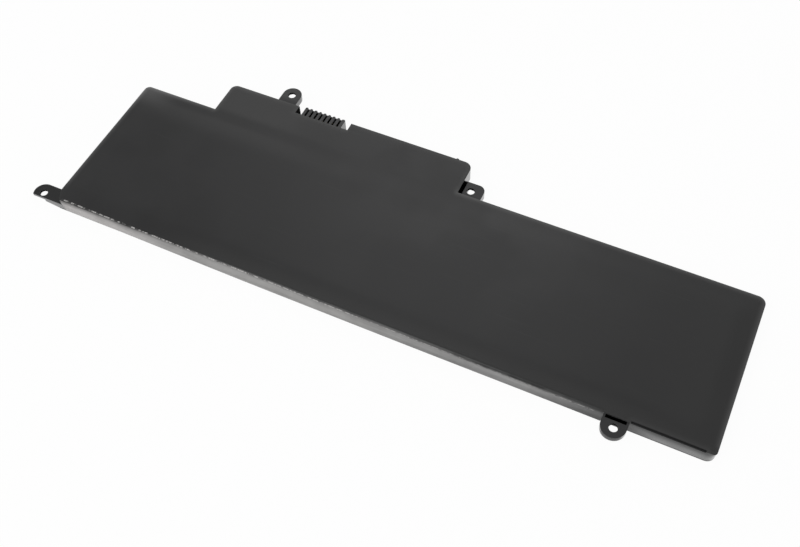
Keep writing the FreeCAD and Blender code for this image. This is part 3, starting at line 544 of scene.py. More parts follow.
@dataclass(frozen=True)
class MouldedPlastic(Finish):
    """Black plastic with a textured top and smoother, shinier walls, whose walls are painted lighter as
    a painted reflection, with painted shade and painted light by place.
    """

    # Painted reflection: walls are painted lighter than the top, standing in for the floor that they
    # reflect.
    wall_colour: Colour = (0.08, 0.08, 0.08)
    wall_roughness: float = 0.3
    wall_coat: float = 1.0
    coat_roughness: float = 0.18
    top_shade: Region = (up(1.8, 5.6, 0.0, 0.8),)
    ear_shade: Region = (along(233.0, 222.0), across(-1.0, -0.3, 0.0, 0.65), along(200.0, 210.0))
    # Painted shadow along the foot of the front walls, where they meet the floor.
    foot: Region = (up(0.9, 0.4),)
    # Painted shade: faces below the top level are painted near black.
    low: Patch = Patch((0.004, 0.004, 0.004), (up(5.6, 5.2),))
    # Painted light: the top is painted lighter towards the back.
    far: Patch = Patch((0.044, 0.044, 0.044), (across(78.5, 81.0),))
    # Painted shade: pockets are painted black and kept from reflecting.
    dark: Colour = (0.002, 0.002, 0.002)
    pockets: tuple[Pocket, ...] = ()
    grain: float = 0.25
    grain_depth: float = 0.02
    grain_roughness: float = 0.06
    mottle: float = 9.0
    mottle_tone: float = 0.7
    mottle_share: float = 0.4
    edge_radius: float = 0.15
    edge_colour: Colour = (0.09, 0.09, 0.09)

    def build(self, effects: Effects) -> bpy.types.Material:
        """Builds the material.

        Args:
            effects: The shared effects.

        Returns:
            The finished material.
        """
        material, sheet, shader = self.start()
        facing = effects.place(sheet, EffectName.FACING)
        rounding = effects.place(sheet, EffectName.ROUNDING, Radius=self.edge_radius)
        grain = effects.place(sheet, EffectName.GRAIN, Size=self.grain)
        mottle = effects.place(sheet, EffectName.MOTTLE, Size=self.mottle)
        area = partial(sheet.area, facing)
        # Painted shade in holes and slots: black, metallic and rough, so they reflect nothing.
        pocket_shade = sheet.most(*(effects.place(sheet, EffectName.POCKET, **pocket.sides())
                              .outputs["Mask"] for pocket in self.pockets))
        front = facing.outputs["Front"]
        shade = sheet.times(front, sheet.most(area(self.top_shade), area(self.ear_shade)))
        # Painted shadow at the foot of the front walls.
        foot = sheet.times(front, area(self.foot))
        wall = sheet.times(facing.outputs["Wall"], sheet.rest(shade), sheet.rest(foot),
                           sheet.rest(pocket_shade))
        body = self.colour
        # Painted light at the back, then painted shade on the low faces.
        for patch in (self.far, self.low):
            body = sheet.blend(area(patch.region), body, patch.colour)
        # Painted reflection on the walls, outside the painted shade, the foot shadow and the pockets.
        body = sheet.blend(wall, body, self.wall_colour)
        darker = tuple(part * self.mottle_tone for part in self.colour)
        body = sheet.blend(sheet.times(mottle.outputs["Mask"], self.mottle_share), body, darker)
        worn = sheet.times(rounding.outputs["Edge"], grain.outputs["Tone"])
        body = sheet.blend(worn, body, self.edge_colour)
        sheet.join(sheet.blend(pocket_shade, body, self.dark), shader.inputs["Base Color"])
        sheet.join(pocket_shade, shader.inputs["Metallic"])
        rough = sheet.plus(sheet.ramp(wall, 0.0, 1.0, self.roughness, self.wall_roughness),
                           sheet.times(grain.outputs["Tone"], self.grain_roughness))
        sheet.join(sheet.most(rough, pocket_shade), shader.inputs["Roughness"])
        sheet.join(sheet.times(wall, self.wall_coat), shader.inputs["Coat Weight"])
        sheet.join(self.coat_roughness, shader.inputs["Coat Roughness"])
        self.bump(sheet, shader, grain.outputs["Height"], self.grain_depth,
                  rounding.outputs["Normal"])
        return material


@dataclass(frozen=True)
class FilmSkin(Finish):
    """Satin black film, with a painted reflection on its flap, painted sheen and light by its edges and
    rims, painted glints on the burrs of its slits and painted shade by place.
    """

    # Painted reflection on the flap, lightest at its left end, darker to the right and darkest at its
    # right end.
    flap_colour: Colour = (0.44, 0.425, 0.42)
    flap_patches: tuple[Patch, ...] = (
        Patch((0.315, 0.31, 0.305), (along(12.0, 60.0),)),
        Patch((0.285, 0.282, 0.28), (along(120.0, 165.0),)),
        Patch((0.11, 0.11, 0.11), (along(186.0, 212.0),)))
    # Painted shade over the flap's painted reflection, varied at random by streaks and clouds.
    upper_shade: Region = (up(4.2, 5.3, 0.0, 0.2),)
    fold_shade: Region = (up(5.4, 6.0, 0.0, 0.42),)
    fold_line: Region = (up(4.6, 5.2), along(134.0, 150.0, 0.0, 0.34), up(5.6, 6.0, 1.0, 0.3),
                         along(188.0, 204.0, 1.0, 0.4))
    lower_shade: Region = (up(4.0, 1.0), along(115.0, 205.0, 0.0, 0.42))
    left_shade: Region = (up(3.6, 5.0), along(60.0, 22.0, 0.0, 0.17))
    middle_shade: Region = (up(4.8, 5.8), along(86.0, 104.0, 0.0, 0.25),
                            along(118.0, 134.0, 1.0, 0.25))
    streak_share: float = 0.12
    folded: Region = (across(1.0, 0.8), up(6.17, 5.95))
    paler: float = 1.15
    mark_colour: Colour = (0.2, 0.2, 0.2)
    mark_share: float = 0.02
    # Painted sheen where the film curves down towards the front edge and near the right end.
    near_colour: Colour = (0.024, 0.024, 0.024)
    near_edge: Region = (across(8.0, 3.0), along(40.0, 70.0))
    right_end: Region = (along(215.0, 246.0),)
    # Painted light: the film is painted lighter towards the back-left, except along the valley.
    far: Patch = Patch((0.037, 0.037, 0.037), (across(46.0, 66.0), along(100.0, 40.0)))
    # Painted shade along the valley before the strip, which keeps the painted light out of it.
    valley: Region = (across(57.0, 60.0, 0.0, 0.7), across(65.5, 62.0))
    # Painted light along the film's back-left corner.
    glow: Patch = Patch((0.075, 0.075, 0.075), (across(52.0, 62.0), along(18.0, 2.0)))
    # Painted sheen along the rolled rim, brightest at the back-left corner, with painted shade on the
    # inner rim and along the ledge.
    rim_colour: Colour = (0.085, 0.085, 0.085)
    corner_rim: Patch = Patch((0.17, 0.17, 0.17), (across(45.0, 62.0), along(34.0, 6.0)))
    inner_rim_colour: Colour = (0.045, 0.045, 0.045)
    inner_rim: Region = (across(63.0, 66.0), along(40.0, 62.0))
    ledge_rim: Region = (across(4.0, 2.0), along(214.0, 222.0))
    cut_start: float = 5.0
    cut_end: float = 10.0
    # Painted glints on the raised burrs of the slits, fading to the right.
    burr_colour: Colour = (0.6, 0.59, 0.58)
    burr_fade: Region = (along(60.0, 190.0, 1.0, 0.45),)
    burr_grain: float = 1.6
    burr_tone: tuple[float, ...] = (0.2, 0.6, 0.05, 1.0)
    flap_cloud: float = 7.0
    cloud: float = 24.0
    grain: float = 0.5
    grain_share: float = 0.3
    peel: float = 1.6
    peel_depth: float = 0.008
    mottle_roughness: float = 0.06

    def flap(self, effects: Effects, sheet: NodeSheet, area: Callable) -> bpy.types.NodeSocket:
        """Painted reflection on the flap, with painted shade to the right and towards the fold.

        Args:
            effects: The shared effects.
            sheet: The material's sheet.
            area: Gives the mask of a region.

        Returns:
            The colour's socket.
        """
        tone = self.flap_colour
        for patch in self.flap_patches:
            tone = sheet.blend(area(patch.region), tone, patch.colour)
        streak = effects.place(sheet, EffectName.SCRATCHES, Spacing=2.0, Length=40.0, Share=0.3)
        cloud = effects.place(sheet, EffectName.MOTTLE, Size=self.flap_cloud)
        regions = (self.upper_shade, self.fold_shade, self.fold_line, self.lower_shade,
                   self.left_shade, self.middle_shade)
        shade = sheet.plus(*map(area, regions),
                           sheet.times(streak.outputs["Mask"], self.streak_share),
                           sheet.times(cloud.outputs["Mask"], self.streak_share))
        return sheet.blend(shade, tone, (0.0, 0.0, 0.0))

    def rim(self, sheet: NodeSheet, facing: bpy.types.Node, area: Callable
            ) -> tuple[bpy.types.NodeSocket, bpy.types.NodeSocket]:
        """Share and colour of the painted sheen on the film's rolled rim, with painted shade on its
        inner and ledge parts, which ends at the cut corner.

        Args:
            sheet: The material's sheet.
            facing: Node that gives the place in the drawing.
            area: Gives the mask of a region.

        Returns:
            The sockets of the share and of the colour.
        """
        mark = sheet.add("ShaderNodeAttribute", attribute_name="rim")
        from_cut = sheet.plus(facing.outputs["Along"], facing.outputs["Across"])
        share = sheet.times(mark.outputs["Fac"], sheet.ramp(from_cut, self.cut_start, self.cut_end))
        edge = sheet.blend(area(self.corner_rim.region), self.rim_colour, self.corner_rim.colour)
        darker = sheet.most(area(self.inner_rim), area(self.ledge_rim))
        return share, sheet.blend(darker, edge, self.inner_rim_colour)

    def build(self, effects: Effects) -> bpy.types.Material:
        """Builds the material.

        Args:
            effects: The shared effects.

        Returns:
            The finished material.
        """
        material, sheet, shader = self.start()
        facing = effects.place(sheet, EffectName.FACING)
        grain = effects.place(sheet, EffectName.GRAIN, Size=self.grain, Detail=2.0)
        peel = effects.place(sheet, EffectName.GRAIN, Size=self.peel, Detail=2.0)
        mottle = effects.place(sheet, EffectName.MOTTLE, Size=self.cloud)
        scratches = effects.place(sheet, EffectName.SCRATCHES, Spacing=0.9, Length=22.0,
                                  Share=0.12)
        area = partial(sheet.area, facing)
        paler = tuple(part * self.paler for part in self.colour)
        skin = sheet.blend(mottle.outputs["Mask"], self.colour, paler)
        marks = sheet.times(scratches.outputs["Mask"], self.mark_share)
        skin = sheet.blend(marks, skin, self.mark_colour)
        # Painted sheen near the front edge and the right end.
        near = sheet.most(area(self.near_edge), area(self.right_end))
        skin = sheet.blend(near, skin, self.near_colour)
        # Painted light towards the back-left, held out of the valley.
        far = sheet.times(area(self.far.region), sheet.rest(area(self.valley)))
        skin = sheet.blend(far, skin, self.far.colour)
        skin = sheet.blend(area(self.glow.region), skin, self.glow.colour)
        share, edge = self.rim(sheet, facing, area)
        skin = sheet.blend(share, skin, edge)
        # Painted reflection on the flap.
        skin = sheet.blend(area(self.folded), skin, self.flap(effects, sheet, area))
        # Painted glints on the burrs of the slits.
        burr = sheet.add("ShaderNodeAttribute", attribute_name="burr")
        torn = effects.place(sheet, EffectName.GRAIN, Size=self.burr_grain)
        burr_glint = sheet.times(burr.outputs["Fac"],
                             sheet.ramp(torn.outputs["Tone"], *self.burr_tone),
                             area(self.burr_fade))
        sheet.join(sheet.blend(burr_glint, skin, self.burr_colour), shader.inputs["Base Color"])
        self.roughen(sheet, shader, mottle.outputs["Mask"], self.mottle_roughness)
        height = sheet.plus(peel.outputs["Height"],
                            sheet.times(grain.outputs["Height"], self.grain_share))
        self.bump(sheet, shader, height, self.peel_depth)
        return material


@dataclass(frozen=True)
class ThinSheet(Finish):
    """Tape, label, foam or laminate with a fine even texture."""

    grain: float = 0.3
    grain_depth: float = 0.02
    grain_roughness: float = 0.1
    second_colour: Colour = (0.1, 0.1, 0.1)
    mottle: float = 6.0

    def build(self, effects: Effects) -> bpy.types.Material:
        """Builds the material.

        Args:
            effects: The shared effects.

        Returns:
            The finished material.
        """
        material, sheet, shader = self.start()
        grain = effects.place(sheet, EffectName.GRAIN, Size=self.grain)
        mottle = effects.place(sheet, EffectName.MOTTLE, Size=self.mottle)
        share = sheet.times(mottle.outputs["Mask"], grain.outputs["Tone"])
        sheet.join(sheet.blend(share, self.colour, self.second_colour),
                   shader.inputs["Base Color"])
        self.roughen(sheet, shader, grain.outputs["Tone"], self.grain_roughness)
        self.bump(sheet, shader, grain.outputs["Height"], self.grain_depth)
        return material


@dataclass(frozen=True)
class RolledMetal(Finish):
    """Foil, strip or blade with drawing lines along its length."""

    metallic: float = 1.0
    line_spacing: float = 0.12
    line_stretch: float = 60.0
    line_depth: float = 0.006
    line_share: float = 0.3
    line_roughness: float = 0.12
    tarnish_size: float = 4.0
    tarnish: Colour = (0.4, 0.36, 0.3)
    tarnish_share: float = 0.35

    def build(self, effects: Effects) -> bpy.types.Material:
        """Builds the material.

        Args:
            effects: The shared effects.

        Returns:
            The finished material.
        """
        material, sheet, shader = self.start()
        lines = effects.place(sheet, EffectName.SCRATCHES, Spacing=self.line_spacing,
                              Length=self.line_spacing * self.line_stretch,
                              Share=self.line_share)
        mottle = effects.place(sheet, EffectName.MOTTLE, Size=self.tarnish_size)
        share = sheet.times(mottle.outputs["Mask"], self.tarnish_share)
        sheet.join(sheet.blend(share, self.colour, self.tarnish), shader.inputs["Base Color"])
        self.roughen(sheet, shader, lines.outputs["Mask"], self.line_roughness)
        self.bump(sheet, shader, lines.outputs["Mask"], self.line_depth)
        return material


@dataclass(frozen=True)
class BoardResist(Finish):
    """Green solder resist with copper tracks showing through."""

    track_colour: Colour = (0.05, 0.26, 0.1)
    track_pitch: float = 1.3
    track_height: float = 0.03
    track_start: float = 0.08
    track_end: float = 0.12
    grain: float = 0.3
    grain_roughness: float = 0.08

    def build(self, effects: Effects) -> bpy.types.Material:
        """Builds the material.

        Args:
            effects: The shared effects.

        Returns:
            The finished material.
        """
        material, sheet, shader = self.start()
        cells = sheet.add("ShaderNodeTexVoronoi", distance="CHEBYCHEV",
                          feature="DISTANCE_TO_EDGE")
        sheet.join(1.0 / (self.track_pitch * MM), cells.inputs["Scale"])
        sheet.join(sheet.add("ShaderNodeTexCoord").outputs["Object"], cells.inputs["Vector"])
        tracks = sheet.ramp(cells.outputs["Distance"], self.track_start, self.track_end)
        sheet.join(sheet.blend(tracks, self.colour, self.track_colour),
                   shader.inputs["Base Color"])
        grain = effects.place(sheet, EffectName.GRAIN, Size=self.grain)
        self.roughen(sheet, shader, grain.outputs["Tone"], self.grain_roughness)
        self.bump(sheet, shader, tracks, self.track_height)
        return material


TRAY_PLASTIC = MouldedPlastic(
    "tray_plastic", (0.019, 0.019, 0.02), roughness=0.5,
    # Painted shade in the four screw holes, the notch's left wall and the slots beside the front and
    # side ears.
    pockets=(Pocket.round_hole(56.1, 81.95, 5.75),
             Pocket.round_hole(140.2, 65.55, 5.75),
             Pocket.round_hole(218.15, -3.72, 5.75),
             Pocket.round_hole(-7.4, 2.05, 3.15),
             Pocket(61.7, 62.1, 74.15, 78.0, 6.0),
             Pocket(214.3, 221.8, -1.3, 0.05, 5.6),
             Pocket(136.05, 137.59, 62.95, 69.05, 6.1)))
CONNECTOR_PLASTIC = MouldedPlastic(
    "connector_plastic", (0.034, 0.034, 0.035), roughness=0.45, edge_radius=0.08, grain=0.15,
    # Painted shade in the slots between the ribs.
    pockets=(Pocket(65.6, 80.8, 72.0, 77.68, 5.3),))
COVER_FILM = FilmSkin("cover_film", (0.017, 0.017, 0.0174), roughness=0.42, specular=0.4)
STIFF_SHEET = ThinSheet("stiff_sheet", (0.03, 0.03, 0.03), second_colour=(0.05, 0.05, 0.05))
PLAIN_LABEL = ThinSheet("plain_label", (0.05, 0.05, 0.053), roughness=0.55, grain=0.25,
                        second_colour=(0.075, 0.075, 0.08), mottle=14.0)
WHITE_TAPE = ThinSheet("adhesive_tape", (0.7, 0.7, 0.68), second_colour=(0.6, 0.6, 0.57))
AMBER_TAPE = ThinSheet("amber_tape", (0.55, 0.3, 0.06), roughness=0.3,
                       second_colour=(0.42, 0.2, 0.03))
FOAM = ThinSheet("foam", (0.05, 0.05, 0.05), roughness=0.95, grain=0.35, grain_depth=0.12,
                 second_colour=(0.02, 0.02, 0.02))
FLEXIBLE_TAIL = ThinSheet("flexible_tail", (0.5, 0.26, 0.05), roughness=0.3,
                          second_colour=(0.6, 0.4, 0.16), mottle=1.2)
CHIP_PLASTIC = ThinSheet("chip_plastic", (0.03, 0.03, 0.032), roughness=0.6, grain=0.12,
                         second_colour=(0.045, 0.045, 0.045))
CAPACITOR_CERAMIC = ThinSheet("capacitor_ceramic", (0.5, 0.36, 0.22), roughness=0.4,
                              second_colour=(0.42, 0.29, 0.17), grain=0.15)
RESISTOR_CERAMIC = ThinSheet("resistor_ceramic", (0.08, 0.08, 0.09), roughness=0.35,
                             second_colour=(0.05, 0.05, 0.055), grain=0.15)
SENSOR_BEAD = ThinSheet("sensor_bead", (0.1, 0.1, 0.1), roughness=0.2,
                        second_colour=(0.06, 0.06, 0.06), grain=0.2)
POUCH_FOIL = RolledMetal("pouch_foil", (0.62, 0.63, 0.65), roughness=0.36, line_spacing=0.3,
                         tarnish=(0.5, 0.51, 0.53))
ALUMINIUM_TAB = RolledMetal("aluminium_tab", (0.78, 0.79, 0.8), roughness=0.3)
NICKEL = RolledMetal("nickel", (0.66, 0.64, 0.6), roughness=0.28)
CONTACT_METAL = RolledMetal("contact_metal", (0.8, 0.62, 0.28), roughness=0.22,
                            line_spacing=0.06)
BOARD_RESIST = BoardResist("board_laminate", (0.02, 0.16, 0.07), roughness=0.35)


class Wardrobe:
    """Builds each finish once and dresses nodes with it."""

    def __init__(self, datum: Datum) -> None:
        """Builds the shared effects for the drawing's datum."""
        self.effects = Effects(datum)
        self.made: dict[str, bpy.types.Material] = {}

    def material(self, finish: Finish) -> bpy.types.Material:
        """The finish's material, built at its first use."""
        if finish.label not in self.made:
            self.made[finish.label] = finish.build(self.effects)
        return self.made[finish.label]

    def dress(self, piece: bpy.types.Object, finish: Finish) -> None:
        """Gives a node of the frame or a piece built here one finish all over."""
        piece.data.materials.clear()
        piece.data.materials.append(self.material(finish))


# Cover film

def eased(value: float) -> float:
    """Smooth step from 0 to 1."""
    value = min(max(value, 0.0), 1.0)
    return value * value * (3 - 2 * value)


def bell(value: float, centre: float, width: float) -> float:
    """Rounded hump of height 1."""
    return math.exp(-((value - centre) / width) ** 2)


@dataclass
class FilmRelief:
    """Height of the film above its low level, in millimetres."""

    rise: float = 0.26
    slope: float = 8.0
    left: float = 0.6
    right: float = 249.4
    front: float = 0.9
    back: float = 58.3
    back_shift: float = 2.7
    shift_start: float = 88.0
    shift_run: float = 25.0
    valley_y: float = 60.4
    valley_width: float = 1.8
    valley_depth: float = 0.03
    valley_left: float = 31.0
    valley_left_run: float = 4.0
    valley_right: float = 100.0
    valley_right_run: float = 10.0
    ripple: float = 0.006
    ripple_length: float = 17.0
    ripple_width: float = 11.0
    ripple_start: float = 1.2
    ripple_run: float = 3.0
    highest: float = 0.3

    def height(self, x: float, y: float) -> float:
        """Height of the film at a point, without its rolled rim.

        Args:
            x: Millimetres from the body's left edge.
            y: Millimetres from the body's front face.

        Returns:
            Millimetres above the film's low level.
        """
        back = self.back + self.back_shift * eased((x - self.shift_start) / self.shift_run)
        sides = eased((x - self.left) / self.slope) * eased((self.right - x) / self.slope)
        ends = eased((y - self.front) / self.slope) * eased((back - y) / self.slope)
        valley = self.valley_depth * bell(y, self.valley_y, self.valley_width)
        valley *= eased((x - self.valley_left) / self.valley_left_run)
        valley *= eased((self.valley_right - x) / self.valley_right_run)
        place = Vector((x / self.ripple_length, y / self.ripple_width, 0.0))
        wave = noise.noise(place) * self.ripple * eased((y - self.ripple_start) / self.ripple_run)
        return min(self.rise * sides * ends - valley + wave, self.highest)


# Distances of the mesh's rows and columns from a free edge, in millimetres
RIM_STEPS = (0.0, 0.12, 0.3, 0.55, 0.9, 1.4, 2.1, 3.0)

# Shares of a pitch, of the shelf at the front and of the strip's back, where columns or rows lie
PITCH_SHARES = (0.25, 0.5, 0.75, 1.0)
SHELF_SHARES = (0.0, 0.15, 0.4, 0.7)
STRIP_SHARES = (0.3, 0.55, 0.75, 0.88, 0.96, 1.0)

# Numbers of even rows below the slits, above them, over the cells and over the board
FLAP_ROWS = 13
FOLD_ROWS = 5
PLATE_ROWS = 46
BOARD_ROWS = 7


def spread(low: float, high: float, count: int) -> list[float]:
    """Places between two limits in even steps, which crowd together towards the last."""
    tail = [high - part for part in reversed(RIM_STEPS)]
    return [low + (tail[0] - low) * index / count for index in range(count)] + tail


class FrontEdge(Enum):
    """How the film ends at the front."""

    PLAIN = "reaches the front face"
    FLAP = "folds down as a flap"
    LEDGE = "ends a little behind the front face"


@dataclass(frozen=True)
class Stretch:
    """Part of the film's length with one kind of front and back."""

    left: float
    right: float
    front: FrontEdge
    in_strip: bool
    in_notch: bool


@dataclass
class CoverFilm:
    """Film over the top, with its fold, its flap and the row of slits."""

    datum: Datum
    relief: FilmRelief = field(default_factory=FilmRelief)
    length: float = 250.0
    body_back: float = 63.0
    strip_left: float = 31.8
    strip_right: float = 136.1
    strip_back: float = 77.65
    notch_left: float = 61.9
    notch_right: float = 84.8
    notch_floor: float = 74.05
    inset: float = 0.03
    low_top: float = 6.2
    thickness: float = 0.2
    fold_radius: float = 0.9
    flap_start: float = 2.3
    flap_slant: float = 0.9
    flap_end: float = 213.4
    flap_bottom: float = 0.4
    flap_bulge: float = 0.55
    bulge_start: float = 5.0
    bulge_run: float = 90.0
    bulge_fall: float = 0.35
    fall_start: float = 140.0
    fall_run: float = 60.0
    ledge_start: float = 222.6
    ledge_end: float = 246.7
    ledge_front: float = 0.65
    cut_x: float = 2.2
    cut_y: float = 4.2
    plate_start: float = 1.4
    front_right_radius: float = 1.2
    back_left_radius: float = 2.0
    back_right_radius: float = 3.0
    strip_left_radius: float = 2.6
    strip_right_radius: float = 3.2
    roll_width: float = 2.4
    roll_depth: float = 0.1
    turn_width: float = 0.6
    turn_depth: float = 0.06
    slit_pitch: float = 3.0
    slit_length: float = 1.5
    slit_half_width: float = 0.12
    slit_left_way: float = 0.3
    slit_right_way: float = 1.9
    burr: float = 0.07
    burr_width: float = 0.14
    step: float = 1.2
    slit_play: float = 0.01
    slant_share: float = 0.98
    shelf_gap: float = 0.3
    plate_gap: float = 0.8
    column_play: float = 0.1
    column_gap: float = 0.08
    sharp_degrees: float = 40.0
    grid: float = 1000.0

    def corner(self, aside: float, radius: float) -> float:
        """How far a rounded corner draws the edge back, at a distance from its outer side."""
        inward = max(radius - aside, 0.0)
        return radius - math.sqrt(max(radius ** 2 - inward ** 2, 0.0))

    def front_y(self, x: float) -> float:
        """Front end of the film where it isn't folded.

        Args:
            x: Millimetres from the body's left edge.

        Returns:
            Millimetres from the body's front face.
        """
        cut = self.cut_y * (1 - x / self.cut_x) + 2 * self.inset
        rounded = self.corner(self.length - self.inset - x, self.front_right_radius)
        return max(self.inset + rounded, cut)

    def back_y(self, x: float, in_strip: bool) -> float:
        """Back end of the film over the cells or over the board.

        Args:
            x: Millimetres from the body's left edge.
            in_strip: True for the strip with the board.

        Returns:
            Millimetres from the body's front face.
        """
        if not in_strip:
            drawn = max(self.corner(x - self.inset, self.back_left_radius),
                        self.corner(self.length - self.inset - x, self.back_right_radius))
            return self.body_back - self.inset - drawn
        drawn = max(self.corner(x - self.strip_left - self.inset, self.strip_left_radius),
                    self.corner(self.strip_right - self.inset - x, self.strip_right_radius))
        return self.strip_back - self.inset - drawn

    def outline(self) -> list[tuple[float, float]]:
        """Corners of the film's free edges, from the ledge round to the left front.

        Returns:
            Their x and y in millimetres.
        """
        return [(self.ledge_start, self.ledge_front), (self.ledge_end, self.ledge_front),
                (self.ledge_end, 0.0), (self.length, 0.0), (self.length, self.body_back),
                (self.strip_right, self.body_back), (self.strip_right, self.strip_back),
                (self.notch_right, self.strip_back), (self.notch_right, self.notch_floor),
                (self.notch_left, self.notch_floor), (self.notch_left, self.strip_back),
                (self.strip_left, self.strip_back), (self.strip_left, self.body_back),
                (0.0, self.body_back), (0.0, self.cut_y), (self.cut_x, 0.0)]

    def rim_distance(self, x: float, y: float) -> float:
        """Distance from a point of the film to its nearest free edge.

        Args:
            x: Millimetres from the body's left edge.
            y: Millimetres from the body's front face.

        Returns:
            Millimetres.
        """
        corners = self.outline()
        nearest = self.length
        for (x0, y0), (x1, y1) in zip(corners, corners[1:]):
            run, climb = x1 - x0, y1 - y0
            share = ((x - x0) * run + (y - y0) * climb) / (run ** 2 + climb ** 2)
            share = min(max(share, 0.0), 1.0)
            nearest = min(nearest, math.hypot(x - x0 - share * run, y - y0 - share * climb))
        rounded = ((x, self.body_back - y, self.back_left_radius),
                   (self.length - x, self.body_back - y, self.back_right_radius),
                   (x - self.strip_left, self.strip_back - y, self.strip_left_radius),
                   (self.strip_right - x, self.strip_back - y, self.strip_right_radius))
        for aside, behind, radius in rounded:
            if 0 <= aside < radius and 0 <= behind < radius:
                nearest = min(nearest, radius - math.hypot(radius - aside, radius - behind))
        return max(nearest, 0.0)

    def top_z(self, x: float, y: float) -> float:
        """Level of the film's face over the top.

        Args:
            x: Millimetres from the body's left edge.
            y: Millimetres from the body's front face.

        Returns:
            Millimetres above the underside.
        """
        distance = self.rim_distance(x, y)
        roll = self.roll_depth * max(1 - distance / self.roll_width, 0.0) ** 2
        roll += self.turn_depth * max(1 - distance / self.turn_width, 0.0) ** 2
        return self.low_top + self.relief.height(x, y) - roll

    def slit_number(self, x: float) -> int:
        """Number of the slit at a place along the fold.

        Args:
            x: Millimetres from the body's left edge.

        Returns:
            1 for the first slit, and 0 where there is none.
        """
        turns = (x - self.flap_start) / self.slit_pitch
        number = round(turns)
        count = int((self.flap_end - self.flap_start) / self.slit_pitch) - 1
        near = abs(turns - number) * self.slit_pitch <= self.slit_length / 2 + self.slit_play
        return number if near and 1 <= number <= count else 0

    def slit_way(self, x: float) -> float:
        """Where the row of slits lies on the fold, as a distance from the fold's back."""
        share = (x - self.flap_start) / (self.flap_end - self.flap_start)
        return self.slit_left_way + (self.slit_right_way - self.slit_left_way) * share

    def on_fold(self, x: float, way: float, proud: float = 0.0) -> tuple[float, float]:
        """Point of the folded film's section.

        Args:
            x: Millimetres from the body's left edge.
            way: Distance along the film from the fold's back, towards the flap.
            proud: Distance off the film's face.

        Returns:
            Its y and z, in millimetres.
        """
        quarter = self.fold_radius * math.pi / 2
        radius = self.fold_radius + proud
        centre_z = self.low_top - self.fold_radius
        if way <= 0:
            y = self.fold_radius - way
            return y, self.top_z(x, y) + proud
        if way < quarter:
            angle = way / self.fold_radius
            return (self.fold_radius - radius * math.sin(angle),
                    centre_z + radius * math.cos(angle))
        away = self.flap_bulge * eased((way - quarter) / centre_z)
        away *= eased((x - self.bulge_start) / self.bulge_run)
        away *= 1 - self.bulge_fall * eased((x - self.fall_start) / self.fall_run)
        return -proud - away, centre_z - (way - quarter)

    def columns(self, stretch: Stretch) -> list[float]:
        """Places of the mesh's columns in one stretch.

        Args:
            stretch: The part of the length.

        Returns:
            Sorted places along the length.
        """
        left, right = stretch.left, stretch.right
        if stretch.front is FrontEdge.FLAP:
            count = int((self.flap_end - self.flap_start) / self.slit_pitch)
            marks = [self.flap_start + self.slit_pitch * index + self.slit_pitch * share
                     for index in range(count) for share in PITCH_SHARES]
        else:
            marks = [left + self.step * index for index in range(int((right - left) / self.step))]
        sides = ((self.inset, 1), (self.strip_left + self.inset, 1),
                 (self.notch_left - self.inset, -1), (self.notch_right + self.inset, 1),
                 (self.strip_right - self.inset, -1), (self.length - self.inset, -1))
        for outer, turn in sides:
            marks += [outer + turn * part for part in RIM_STEPS]
        low, high = left + self.column_play, right - self.column_play
        marks = sorted(mark for mark in marks if low < mark < high)
        spaced = [left]
        for mark in marks:
            if mark - spaced[-1] > self.column_gap:
                spaced.append(mark)
        return spaced + [right]

    def plate_front(self, x: float, edge: FrontEdge) -> float:
        """Where the even rows over the top begin."""
        return self.plate_start if edge is FrontEdge.FLAP else max(
            self.plate_start, self.front_y(x) + self.plate_gap)

    def front_rows(self, x: float, edge: FrontEdge) -> list[tuple[float, float, float]]:
        """Points of one column from the front end to the start of the plate.

        Args:
            x: Place of the column.
            edge: How the film ends at the front there.

        Returns:
            Their y and z in millimetres, with 1 for a slit's raised edge and else 0.
        """
        if edge is not FrontEdge.FLAP:
            shelf = max(self.ledge_front, self.front_y(x) + self.shelf_gap)
            end = self.plate_front(x, edge)
            places = [shelf + (end - shelf) * share for share in SHELF_SHARES]
            if edge is FrontEdge.PLAIN:
                places = [self.front_y(x), (self.front_y(x) + shelf) / 2] + places
            return [(y, self.top_z(x, y), 0.0) for y in places]
        quarter = self.fold_radius * math.pi / 2
        plate_way = self.fold_radius - self.plate_start
        last = quarter + self.low_top - self.fold_radius - self.flap_bottom
        slant = eased(1 - (x - self.flap_start) / self.flap_slant)
        last -= slant * (last - quarter) * self.slant_share
        way = self.slit_way(x)
        below = way + self.slit_half_width
        above = way - self.slit_half_width
        torn = 1.0 if self.slit_number(x) else 0.0
        low = below + self.burr_width
        high = above - self.burr_width
        places = [(last + (low - last) * row / (FLAP_ROWS - 1), 0.0) for row in range(FLAP_ROWS)]
        places += [(below, torn), (above, torn)]
        places += [(high + (plate_way - high) * row / FOLD_ROWS, 0.0) for row in range(FOLD_ROWS)]
        return [(*self.on_fold(x, place, self.burr * mark), mark) for place, mark in places]

    def plate_rows(self, x: float, stretch: Stretch) -> list[tuple[float, float, float]]:
        """Points of one column over the top.

        Args:
            x: Place of the column.
            stretch: The part of the length that it belongs to.

        Returns:
            Their y and z in millimetres, with 0 as none is torn.
        """
        back = self.body_back - self.inset if stretch.in_strip else self.back_y(x, False)
        places = spread(self.plate_front(x, stretch.front), back, PLATE_ROWS)
        if stretch.in_strip:
            floor = self.notch_floor - self.inset
            places += spread(back, floor, BOARD_ROWS)[1:]
            if not stretch.in_notch:
                places += [floor + (self.back_y(x, True) - floor) * share
                           for share in STRIP_SHARES]
        return [(y, self.top_z(x, y), 0.0) for y in places]

